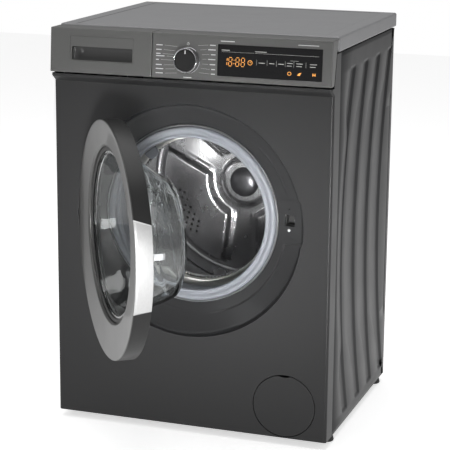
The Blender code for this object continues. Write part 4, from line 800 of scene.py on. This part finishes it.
def knob():
    where = PANEL @ Matrix.Translation((KNOB_X, 0, up(KNOB_Z)))
    cap = soften(
        [
            (0, -0.0162), (0.017, -0.0164, 0.004), (0.0196, -0.0166, 0.0012),
            (0.0209, -0.016, 0.0015), (0.0214, -0.014, 0.001), (0.0214, -0.0012), (0.006, -0.0012),
            (0.006, 0.011), (0, 0.011),
        ],
        5, False,
    )
    lathe("program_knob_cap", cap, CAP, "knob", where, 128, closed=False,
          replaces=("program_knob",), slot="black_plastic")
    ring = soften(
        [
            (0.0219, -0.0135), (0.0222, -0.0166, 0.0006), (0.024, -0.0178, 0.0012),
            (0.025, -0.016, 0.0012), (0.0253, -0.0032, 0.0008), (0.0264, -0.0024, 0.0006),
            (0.0264, -0.0008), (0.0219, -0.0008),
        ],
        4,
    )
    lathe("knob_bright_ring", ring, CHROME, "knob", where, 128, replaces=("knob_ring",), slot="chrome")
    mark = rect(-0.0009, 0.0132, 0.0009, 0.0202, 0.0005, 3)
    # The chrome pointer is drawn flat pale: painted highlight.
    bevel(slab("knob_pointer", mark, -0.01785, -0.015, PRINT_AND_GLINT, "knob", where, slot="chrome"), 0.0002, 2)


def strips(name, rows, material, body, space, y0, y1, slot):
    """Printed or lit marks: thin raised tiles, each given by its four (x, z) corners."""
    bm = bmesh.new()
    for corners in rows:
        shut(bm, [[bm.verts.new((x, y, z)) for x, z in corners] for y in (y0, y1)])
    return finish_mesh(bm, name, material, body, space, slot=slot)


def bar(x0, z0, x1, z1, wide):
    """Corners of a straight stroke between two points."""
    run = Vector((x1 - x0, z1 - z0))
    side = Vector((-run.y, run.x)).normalized() * wide / 2
    return [
        (x0 + side.x, z0 + side.y), (x1 + side.x, z1 + side.y), (x1 - side.x, z1 - side.y),
        (x0 - side.x, z0 - side.y),
    ]


def dash(x0, x1, z, wide):
    """Level stroke at a height above the floor."""
    return bar(x0, up(z), x1, up(z), wide)


def loop(x, z, wide, tall, count, thick):
    """Strokes round a small ring."""
    spots = [
        (x + wide * cos(2 * pi * k / count), z + tall * sin(2 * pi * k / count))
        for k in range(count + 1)
    ]
    return [bar(*one, *two, thick) for one, two in zip(spots, spots[1:])]


def program_marks():
    """Generic dashes stand for the program names, with a leader line from each to the knob."""
    words = []
    lines = []
    left = ((0.8175, 0.0135), (0.8085, 0.0115), (0.8005, 0.0095), (0.796, 0.018))
    left += ((0.7885, 0.006), (0.7785, 0.0125), (0.7705, 0.016), (0.762, 0.0155))
    right = ((0.822, 0.012), (0.813, 0.0155), (0.8035, 0.0095), (0.794, 0.015))
    right += ((0.784, 0.0115), (0.7745, 0.008), (0.7655, 0.0085))
    for side, edge, gap, rows in ((-1, -0.0668, 0.0045, left), (1, 0.0588, 0.0035, right)):
        for z, length in rows:
            words.append(dash(edge, edge - side * length, z, 0.0017))
            knee = edge - side * (length + gap)
            clear = sqrt(max(0.03**2 - (z - KNOB_Z) ** 2 * 0.55, 0.0004)) + 0.001
            reach = KNOB_X + side * clear
            if side * (knee - reach) > 0.003:
                lines.append(bar(knee, up(z), reach, up(z + (KNOB_Z - z) * 0.06), 0.00035))
    words.append(dash(KNOB_X - 0.0085, KNOB_X + 0.0085, 0.756, 0.0017))
    words.append(dash(0.069, 0.098, 0.8312, 0.0015))
    words.append(dash(0.228, 0.27, 0.8312, 0.0013))
    for k in (0, 1, 3, 4, 5, 6, 7, 8, 9):
        (x0, z0), (x1, z1) = (
            (KNOB_X + 0.0024 * cos(turn), up(0.8225) + 0.0024 * sin(turn))
            for turn in (radians(36 * k), radians(36 * k + 26))
        )
        words.append(bar(x0, z0, x1, z1, 0.0008))
    words.append(bar(KNOB_X, up(0.8225), KNOB_X, up(0.8262), 0.0008))
    strips("program_marks", words, PRINT_AND_GLINT, "cabinet", PANEL, -0.00008, 0.0004, "white_plastic")
    strips("program_leaders", lines, PRINT_AND_GLINT, "cabinet", PANEL, -0.00006, 0.0004, "white_plastic")


SEGMENTS = {"1": "bc", "8": "abcdefg"}


def digit(char, x, z, w, h, t):
    lean = 0.1
    spots = {
        "a": (0.12, 1.0, 0.88, 1.0), "b": (1.0, 0.9, 1.0, 0.58), "c": (1.0, 0.42, 1.0, 0.1),
        "d": (0.12, 0.0, 0.88, 0.0), "e": (0.0, 0.42, 0.0, 0.1), "f": (0.0, 0.9, 0.0, 0.58),
        "g": (0.12, 0.5, 0.88, 0.5),
    }
    rows = []
    for key in SEGMENTS[char]:
        a, b, c, d = spots[key]
        rows.append(
            bar(x + a * w + lean * b * h * 0.5, z + b * h, x + c * w + lean * d * h * 0.5, z + d * h, t)
        )
    return rows


def display_marks():
    amber = []
    z = up(0.7836)
    h = up(0.8003) - z
    x = 0.08
    for char in "18:88":
        if char == ":":
            for level in (0.3, 0.7):
                mid = z + level * h
                amber.append(bar(x + 0.0004, mid - 0.0007, x + 0.0004, mid + 0.0007, 0.0014))
            x += 0.0036
            continue
        wide = 0.0068
        amber += digit(char, x - (0.004 if char == "1" else 0), z, wide, h, 0.0011)
        x += 0.0062 if char == "1" else 0.0112
    cx, cz = 0.131, z + h * 0.5
    amber += loop(cx, cz, 0.0045, 0.0045, 16, 0.001)
    amber.append(bar(cx, cz, cx, cz + 0.0028, 0.0008))
    amber.append(bar(cx, cz, cx + 0.0022, cz, 0.0008))
    low = up(0.7752)
    for x, kind in ((0.212, 0), (0.232, 1), (0.262, 2)):
        if kind == 0:
            amber += loop(x, low, 0.0036, 0.0032, 12, 0.0011)
        elif kind == 1:
            amber.append([(x - 0.0044, low - 0.0026), (x + 0.001, low - 0.003),
                          (x + 0.0046, low + 0.003), (x - 0.0006, low + 0.0018)])
        else:
            for dx in (-0.0022, 0.0022):
                amber.append(bar(x + dx, low - 0.0028, x + dx, low + 0.0028, 0.0017))
            amber.append(bar(x - 0.0012, low, x + 0.0012, low, 0.0014))
    strips("display_segments", amber, AMBER, "cabinet", PANEL, -0.00006, 0.0004, "black_gloss")
    pale = [
        dash(0.072, 0.1386, 0.8108, 0.0004), dash(0.14, 0.2706, 0.8108, 0.0004),
        dash(0.0715, 0.088, 0.814, 0.0013), dash(0.1405, 0.164, 0.814, 0.0013),
        dash(0.213, 0.23, 0.8, 0.0005),
    ]
    for x in (0.1445, 0.166, 0.185, 0.203, 0.2205, 0.245):
        pale.append(bar(x, up(0.7875), x, up(0.7985), 0.0004))
    for x, length, double in (
        (0.1488, 0.0125, 0), (0.1702, 0.0105, 0), (0.1885, 0.0115, 0),
        (0.2065, 0.0115, 1), (0.2255, 0.013, 1), (0.253, 0.014, 1),
    ):
        if double:
            pale.append(dash(x, x + length, 0.795, 0.0012))
            pale.append(dash(x, x + length * 0.86, 0.79, 0.0012))
        else:
            pale.append(dash(x, x + length, 0.7925, 0.0014))
    strips("display_marks", pale, PALE, "cabinet", PANEL, -0.00005, 0.0004, "black_gloss")


# ---- door
def door_rings():
    """The door's ring: a band round the outside in the door's grey darkened with painted shade, then the
    sloping front face with its thin bright edge, and the back plate that holds the glass."""
    band = soften(
        [
            (DOOR_R, -0.0232, 0.001), (DOOR_R, 0.01, 0.0006), (DOOR_R - 0.003, 0.01, 0.0006),
            (DOOR_R - 0.003, -0.0226), (DOOR_R - 0.0012, -0.0232),
        ],
        4,
    )
    # The band is drawn in the darkened door grey: painted shade.
    lathe("door_ring_band", band, SHADED_BAND_PAINT, "door", DOOR, slot="door_grey")
    front = soften(
        [
            (DOOR_R - 0.0002, -0.0234, 0.0006), (DOOR_R - 0.0034, -0.0224), (0.23, -0.02, 0.002),
            (0.185, -0.0114), (WINDOW_R, -0.0114), (WINDOW_R, -0.0148, 0.0008),
            (0.1772, -0.0182, 0.0015), (0.2262, -0.0243, 0.006), (DOOR_R - 0.002, -0.025, 0.0014),
            (DOOR_R - 0.0004, -0.0244, 0.0006),
        ],
        5,
    )
    lathe("door_ring_front", front, DOOR_PAINT, "door", DOOR, lean=(0.2262, 0.1772),
          replaces=("door_outer_ring",), slot="door_grey")
    edge = DOOR_R - 0.0034
    inner = soften(
        [
            (edge, 0.0098, 0.0005), (edge, 0.0068), (0.175, 0.001, 0.004), (0.1655, 0.001),
            (0.1645, 0.0022, 0.0006), (0.1655, 0.004, 0.0008), (0.175, 0.0052, 0.004),
            (0.213, 0.0078, 0.01),
        ],
        4,
    )
    made = lathe("door_ring_back", inner, INSIDE_PAINT, None, DOOR, lean=(0.2262, 0.1772))
    slot_hole = block(
        "tool_latch", (LATCH_X - 0.0058, -0.01, LATCH_Z - 0.008), (LATCH_X + 0.0058, 0.03, LATCH_Z + 0.008),
        INSIDE_PAINT, None, HINGE @ Matrix.Translation((-HINGE_X, -HINGE_Y, -RING_Z)),
    )
    cut(made, slot_hole)
    settle(made)
    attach(made, "door")
    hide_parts("door_inner_ring")
    seat = -0.0116
    seal = soften(
        [
            (0.1813, seat, 0.0006), (0.1813, seat + 0.0022), (0.166, seat + 0.0022),
            (0.1642, seat + 0.0012, 0.0006), (0.1662, seat - 0.0004, 0.0008),
            (0.1722, seat - 0.0006, 0.0006), (0.1732, seat, 0.0004),
        ],
        3,
    )
    lathe("window_gasket", seal, RUBBER, "door", BOWL, replaces=("window_seal",), slot="black_rubber")


FLUTES = (
    (-18, 13, 0.0022), (14, 10, 0.0016), (46, 9, 0.0018), (-54, 12, 0.0018), (100, 11, 0.0016),
    (160, 14, 0.0018), (-120, 14, 0.0016),
)


def bowl():
    """Blown glass bowl with a thick base edge and pressed flutes, drawn down so that its top
    slopes."""
    drop_by = 0.013
    outer = soften(
        [
            (0.1803, -0.009, 0.0006), (0.1803, -0.005, 0.001), (0.162, -0.0044, 0.004),
            (0.156, 0.016, 0.01), (0.1455, 0.05, 0.02), (0.124, 0.096, 0.012),
            (0.116, 0.109, 0.008), (0.099, 0.1118, 0.01), (0.05, 0.1129), (0.0, 0.113),
        ],
        7, False,
    )
    inner = soften(
        [
            (0.0, 0.1088), (0.05, 0.1086), (0.097, 0.1074, 0.008), (0.1115, 0.104, 0.008),
            (0.1195, 0.094, 0.012), (0.1413, 0.0486, 0.02), (0.1518, 0.015, 0.01), (0.1605, -0.009),
        ],
        7, False,
    )
    steps = 240
    angles = np.linspace(0, 2 * pi, steps, endpoint=False)
    degrees = (np.degrees(angles) + 180) % 360 - 180

    def row(radius, y, side):
        depth = np.clip((y - 0.016) / 0.09, 0, 1)
        drop = drop_by * smooth(depth)
        r = np.full(steps, radius)
        yy = np.full(steps, y)
        flute = 0.0
        for centre, width, tall in FLUTES:
            lobe = np.exp(-(((degrees - centre) / width) ** 4))
            flute = flute + tall * lobe * np.exp(-(((y - 0.06) / 0.03) ** 4))
        r = r - flute * (0.6 if side else 1.0)
        x = r * np.cos(angles)
        z = r * np.sin(angles) - drop
        base = np.exp(-(((x - 0.03) * 0.8 + (z + 0.02) * 0.6) / 0.02) ** 2) * (radius < 0.098)
        yy = yy - 0.002 * base * (y > 0.1)
        return list(zip(x, yy, z))

    def fine(profile):
        spots = []
        for (r0, y0), (r1, y1) in zip(profile, profile[1:]):
            parts = max(1, int(hypot(r1 - r0, y1 - y0) / 0.006))
            spots += [(r0 + (r1 - r0) * k / parts, y0 + (y1 - y0) * k / parts) for k in range(parts)]
        return spots + profile[-1:]

    bm = bmesh.new()
    rows = []
    for side, profile in ((0, outer), (1, inner)):
        for radius, y in fine(profile):
            if radius < 1e-6:
                rows.append([bm.verts.new((0, y, -drop_by))])
            else:
                rows.append([bm.verts.new(p) for p in row(radius, y, side)])
    bridge(bm, rows + rows[:1])
    finish_mesh(bm, "door_bowl", GLASS, "door", BOWL, ("door_glass",), "clear_glass", 60)


def trim():
    """Bright strip along the free edge of the door, cut on the slant at both ends."""
    bm = bmesh.new()
    steps = 60
    section = soften(
        [
            (DOOR_R + 0.0003, -0.0246, 0.0006), (DOOR_R + 0.0026, -0.0238, 0.0014),
            (DOOR_R + 0.0031, -0.02, 0.001), (DOOR_R + 0.0031, 0.009, 0.001), (DOOR_R + 0.0003, 0.0098),
        ],
        4, False,
    )
    rings = []
    for i in range(steps + 1):
        t = i / steps
        ring = []
        for r, y in section:
            front = (0.01 - y) / 0.035
            low = -21.0 - 1.5 * front
            high = 22.5 - 3.0 * (1 - front)
            a = radians(low + (high - low) * t)
            lift = 1.0 if 0.0 < t < 1.0 else 0.3
            rr = DOOR_R + 0.0003 + (r - DOOR_R - 0.0003) * lift
            ring.append(bm.verts.new((rr * cos(a), y, rr * sin(a))))
        rings.append(ring)
    shut(bm, rings)
    finish_mesh(bm, "door_handle_trim", METAL_TRIM, "door", DOOR, ("handle_trim",), "handle_metal")


# ---- gasket
def gasket():
    profile = soften(
        [
            (0.1831, 0.044, 0.001), (0.1831, 0.0345, 0.003), (0.18, 0.0302, 0.003),
            (0.1742, 0.0298, 0.003), (0.171, 0.0322, 0.0022), (0.1682, 0.033, 0.0022),
            (0.166, 0.0306, 0.0024), (0.1622, 0.0304, 0.0026), (0.1597, 0.0345, 0.003),
            (0.161, 0.044, 0.003), (0.1672, 0.05, 0.003), (0.1676, 0.06, 0.003),
            (0.1736, 0.07, 0.004), (0.1674, 0.079, 0.003), (0.1672, 0.092, 0.0005),
            (0.17, 0.092, 0.0005), (0.1706, 0.0802, 0.003), (0.1768, 0.07, 0.004),
            (0.171, 0.059, 0.003), (0.171, 0.049, 0.003),
        ],
        5,
    )
    lathe("gasket_bellows", profile, GASKET, "cabinet", replaces=("door_gasket",), slot="gasket_rubber")
    wire = circle(CLAMP_R, 0.036, 0.0011, 10)
    lathe("gasket_wire", wire, ZINC, "cabinet", replaces=("gasket_clamp",), slot="zinc_steel")
    bm = bmesh.new()
    turns = 26
    rings = []
    for i in range(turns * 12 + 1):
        t = i / (turns * 12)
        a = radians(-55 + 21 * t)
        w = 2 * pi * turns * t
        r = CLAMP_R + 0.0021 * cos(w)
        y = 0.0352 + 0.0021 * sin(w)
        centre = Vector((r * cos(a), y, r * sin(a)))
        out = Vector((cos(a), 0, sin(a))) * cos(w) + Vector((0, 1, 0)) * sin(w)
        side = Vector((-sin(a), 0, cos(a)))
        ring = []
        for k in range(6):
            p = centre + 0.0004 * (out * cos(pi * k / 3) + side * sin(pi * k / 3))
            ring.append(bm.verts.new(p))
        rings.append(ring)
    shut(bm, rings)
    finish_mesh(bm, "gasket_wire_spring", ZINC, "cabinet", AXIS, slot="zinc_steel")
    nozzle = [(-0.016, 0.0, 0.006), (0.016, 0.0, 0.006), (0.011, 0.02, 0.008), (-0.011, 0.02, 0.008)]
    a = radians(128)
    where = AXIS @ Matrix.Translation((0.16 * cos(a), 0, 0.16 * sin(a)))
    where = where @ Matrix.Rotation(-(a - pi / 2) + pi, 4, "Y")
    tab = slab("gasket_spray_nozzle", soften(nozzle, 6), 0.048, 0.056, GASKET, "cabinet", where,
               slot="gasket_rubber")
    bevel(tab, 0.0025, 4)


# ---- drum
ARMS = (28.0, 148.0, 268.0)


def wall_height(x, z):
    """How far the pressed panels of the drum's rear wall stand out towards the mouth."""
    r = np.hypot(x, z)
    angle = np.degrees(np.arctan2(z, x))
    nearest = np.full(np.shape(r), 180.0)
    for arm in ARMS:
        off = (angle - arm + 180) % 360 - 180
        nearest = np.where(np.abs(off) < np.abs(nearest), off, nearest)
    across = r * np.abs(np.sin(np.radians(np.clip(np.abs(nearest), 0, 90))))
    half = 0.02 + 0.1 * np.clip(r - 0.06, 0, 0.15)
    side = smooth((across - half) / 0.016)
    inner = smooth((r - 0.07) / 0.02)
    outer = smooth((0.202 - r) / 0.012)
    panel = side * inner * outer
    ridge = np.exp(-(((across - half) / 0.0045) ** 2)) * inner * outer
    hub = smooth((0.058 - r) / 0.01)
    ring = np.exp(-(((r - 0.212) / 0.0035) ** 2))
    dome = 0.003 * np.cos(np.clip((r - 0.05) / 0.16, 0, 1) * pi / 2)
    return 0.0125 * panel + 0.0022 * ridge + 0.007 * hub + 0.003 * ring + dome


def drum():
    inner = DRUM_R - DRUM_SHEET
    front, back = 0.106, 0.39
    mouth = 0.1505
    shell = soften(
        [
            (mouth, front + 0.0105), (mouth, front + 0.0004, 0.0018), (DRUM_R, front + 0.0002, 0.008),
            (DRUM_R, back), (inner, back), (inner, front + 0.0014, 0.008),
            (mouth + 0.0013, front + 0.0016, 0.001), (mouth + 0.0013, front + 0.0105),
        ],
        6,
    )
    lathe("drum_drum_shell", shell, DRUM_STEEL, "drum", replaces=("drum_shell",), slot="stainless")
    steps = 360
    angles = np.linspace(0, 2 * pi, steps, endpoint=False)
    radii = np.concatenate([np.linspace(0.004, 0.066, 14), np.linspace(0.068, inner - 0.0012, 90)])
    base = 0.387
    bm = bmesh.new()
    rings = [[bm.verts.new((0, base - float(wall_height(np.array([0.0]), np.array([0.0]))[0]), 0))]]
    for r in radii:
        x = r * np.cos(angles)
        z = r * np.sin(angles)
        y = base - wall_height(x, z)
        rings.append([bm.verts.new(p) for p in zip(x, y, z)])
    bridge(bm, rings)
    wall = finish_mesh(bm, "drum_rear_wall", WALL_STEEL, "drum", AXIS, ("drum_back",), "stainless", 60)
    sheet = wall.modifiers.new("sheet", "SOLIDIFY")
    sheet.thickness = 0.0008
    sheet.offset = 0
    # The hub dome takes the darkened steel: painted shade.
    dome = soften(
        [
            (0, base - 0.026), (0.018, base - 0.0248, 0.008), (0.031, base - 0.019, 0.006),
            (0.0345, base - 0.009, 0.003), (0.0345, base - 0.004),
        ],
        5, False,
    )
    lathe("drum_hub_dome", dome, SHADED_HUB_STEEL, "drum", closed=False, slot="stainless")
    holes(base)
    lifters(inner)


def holes(base):
    """Three staggered groups of round holes, each with a rolled edge and a black disc across it, painted
    shade for the dark seen through the hole.
    """
    rims = bmesh.new()
    shade_discs = bmesh.new()
    for arm in ARMS:
        middle = radians(arm + 60)
        along = Vector((-sin(middle), cos(middle)))
        out = Vector((cos(middle), sin(middle)))
        for row in range(5):
            count = (5, 6, 7, 6, 5)[row]
            for k in range(count):
                a = (k - (count - 1) / 2) * 0.0185
                b = 0.162 - (row - 2) * 0.0095 - 0.0011 * abs(k - (count - 1) / 2) ** 2 * 0.6
                p = out * b + along * a
                y = base - float(wall_height(np.array([p.x]), np.array([p.y]))[0])
                # The third ring is a black disc across each hole: painted shade.
                edges = [
                    [bm.verts.new((u, y - lift, v)) for u, v in circle(p.x, p.y, r, 20)]
                    for bm, r, lift in (
                        (rims, 0.0029, 0.0014), (rims, 0.0042, 0.0004), (shade_discs, 0.0031, 0.0013)
                    )
                ]
                bridge(rims, edges[:2])
                shade_discs.faces.new(edges[2])
    finish_mesh(rims, "drum_wall_hole_rims", WALL_STEEL, "drum", AXIS, slot="stainless")
    finish_mesh(shade_discs, "drum_wall_hole_shade", HOLE_SHADE, "drum", AXIS, slot="black_plastic")


def lifters(inner):
    """Hollow ribs that lift the laundry: rounded crest, flared foot and sloped ends."""
    length = 0.236
    middle = 0.106 + 0.018 + 0.12
    for index, arm in enumerate(ARMS):
        bm = bmesh.new()
        rings = []
        count = 40
        for i in range(count + 1):
            t = i / count
            y = middle - length / 2 + length * t
            end = float(smooth(t / 0.16) * smooth((1 - t) / 0.16))
            tall = 0.006 + 0.04 * end
            wide = 0.015 + 0.01 * end
            ring = []
            for k in range(25):
                s = k / 24 * 2 - 1
                body = (1 - abs(s) ** 2.2) ** 0.9
                x = s * wide
                foot = inner - sqrt(inner**2 - x**2)
                rise = inner - 0.0012 - foot * 1.0 - tall * body
                ring.append(bm.verts.new((x, y, rise)))
            rings.append(ring)
        shut(bm, rings, False)
        a = radians(arm)
        where = AXIS @ Matrix.Rotation(-(a - pi / 2), 4, "Y")
        made = finish_mesh(
            bm, "drum_rib_%d" % (index + 1), LIFTER_STEEL, "drum", where,
            ("drum_lifter_%d" % (index + 1),), "lifter_steel", 50,
        )
        made.modifiers.new("sheet", "SOLIDIFY").thickness = 0.0008


# ---- feet and carried-over nodes
def feet():
    profile = soften(
        [
            (0, 0.045), (0.0042, 0.045), (0.0042, 0.012), (0.0122, 0.0116, 0.001),
            (0.015, 0.0096, 0.002), (0.0168, 0.0022, 0.0015), (0.0158, 0.0002, 0.0006), (0.0, 0.0),
        ],
        4, False,
    )
    for tag, body, x, y in (
        ("front_left", "foot_fl", -0.281, 0.062), ("front_right", "foot_fr", 0.281, 0.062),
        ("rear_left", "foot_rl", -0.281, 0.455), ("rear_right", "foot_rr", 0.281, 0.455),
    ):
        where = MACHINE @ Matrix.Translation((x, y, 0))
        lathe("levelling_" + tag, profile, RUBBER, body, where, 64, "Z", False,
              replaces=("foot_" + tag,), slot="black_plastic")


KEPT = (
    (BLACK, ("base_tray", "door_lock", "drain_pump", "drain_outlet", "cord_gland",
             "damper_tube_left", "damper_tube_right")),
    (ZINC, ("back_panel", "service_cover", "top_brace", "spring_left", "spring_right",
            "damper_rod_left", "damper_rod_right", "latch_hook", "drive_motor", "motor_pulley")),
    (CAST, ("door_hinge_arm", "hinge_bracket", "drum_spider", "drum_pulley")),
    (IRON, ("front_counterweight", "top_counterweight")), (TUB, ("tub_front", "tub_rear")),
    (WHITE, ("drawer_tray", "dispenser_housing", "inlet_valve", "filter_cap", "selector_switch")),
    (RUBBER, ("drive_belt", "dispenser_hose", "sump_hose")),
)


def keep_nodes():
    for material, names in KEPT:
        for name in names:
            mesh = nodes[name].data
            mesh.materials.clear()
            mesh.materials.append(material)


# ---- stage, light and camera
def area(name, place, target, wide, tall, power, spread=180):
    data = bpy.data.lights.new(name, "AREA")
    data.shape = "RECTANGLE"
    data.size = wide
    data.size_y = tall
    data.energy = power
    data.spread = radians(spread)
    made = placed(name, data)
    made.location = place
    made.rotation_euler = (Vector(target) - Vector(place)).to_track_quat("-Z", "Y").to_euler()
    return made


def stage():
    bm = bmesh.new()
    for x, y in ((-6, -6), (6, -6), (6, 6), (-6, 6)):
        bm.verts.new((x, y, 0))
    bm.faces.new(bm.verts)
    floor_skin = skin("studio_floor", (0.93, 0.93, 0.93), 0.7, 0, 300, 0.01, 0.01,
                      Emission_Color=(1, 1, 1, 1), Emission_Strength=0.6)
    finish_mesh(bm, "studio_floor", floor_skin, None, Matrix())
    world = bpy.data.worlds.new("studio")
    world.use_nodes = True
    tree = world.node_tree
    seen = tree.nodes["Background"]
    seen.inputs["Color"].default_value = (1, 1, 1, 1)
    seen.inputs["Strength"].default_value = 1.0
    lit = node(tree, "Background", Color=(1, 1, 1, 1), Strength=0.34)
    blend = node(tree, "MixShader", Fac=node(tree, "LightPath").outputs["Is Camera Ray"])
    tree.links.new(lit.outputs["Background"], blend.inputs[1])
    tree.links.new(seen.outputs["Background"], blend.inputs[2])
    tree.links.new(blend.outputs["Shader"], tree.nodes["World Output"].inputs["Surface"])
    bpy.context.scene.world = world
    area("light_top", (0.0, 0.1, 2.8), (0, 0.2, 0.8), 2.2, 2.2, 40)
    area("light_left", (-2.2, -1.9, 1.9), (0, 0, 0.55), 1.8, 2.2, 20)
    area("light_right", (2.6, 0.2, 1.3), (0.3, 0.2, 0.4), 1.6, 2.2, 4)
    area("light_drum", (0.75, -2.1, 0.3), (-0.05, 0.2, 0.5), 0.5, 0.5, 2.0, 20)
    inside = AXIS @ Vector((-0.175, 0.16, 0.03))
    wall = AXIS @ Vector((-0.105, 0.385, 0.1))
    area("light_wall", inside, wall, 0.05, 0.05, 0.04).visible_camera = False
    edge = area("light_edge", (1.9, -1.1, 1.0), (0.3, 0.0, 0.5), 0.14, 2.0, 0.9)
    edge.visible_camera = False


def camera():
    azimuth, down, roll = 0.3337, 0.2366, 0.009
    forward = Vector((-sin(azimuth) * cos(down), cos(azimuth) * cos(down), -sin(down)))
    right = Vector((cos(azimuth), sin(azimuth), 0))
    upward = right.cross(forward)
    right2 = right * cos(roll) + upward * sin(roll)
    up2 = -right * sin(roll) + upward * cos(roll)
    data = bpy.data.cameras.new("camera")
    data.sensor_width = 36
    data.lens = 132.24
    data.clip_start = 0.05
    data.clip_end = 60
    made = placed("camera", data)
    turn = Matrix((right2, up2, -forward)).transposed()
    made.matrix_world = Matrix.Translation((1.1424, -3.0764 + FRONT_Y, 1.2415)) @ turn.to_4x4()
    bpy.context.scene.camera = made


front_panel()
dish()
filter_cover()
side_panel("side_sheet_right", 1, "side_panel_right")
side_panel("side_sheet_left", -1, "side_panel_left")
worktop()
control_panel()
drawer()
knob()
program_marks()
display_marks()
door_rings()
bowl()
trim()
gasket()
drum()
feet()
keep_nodes()
stage()
camera()
bpy.context.scene.view_settings.view_transform = "Standard"
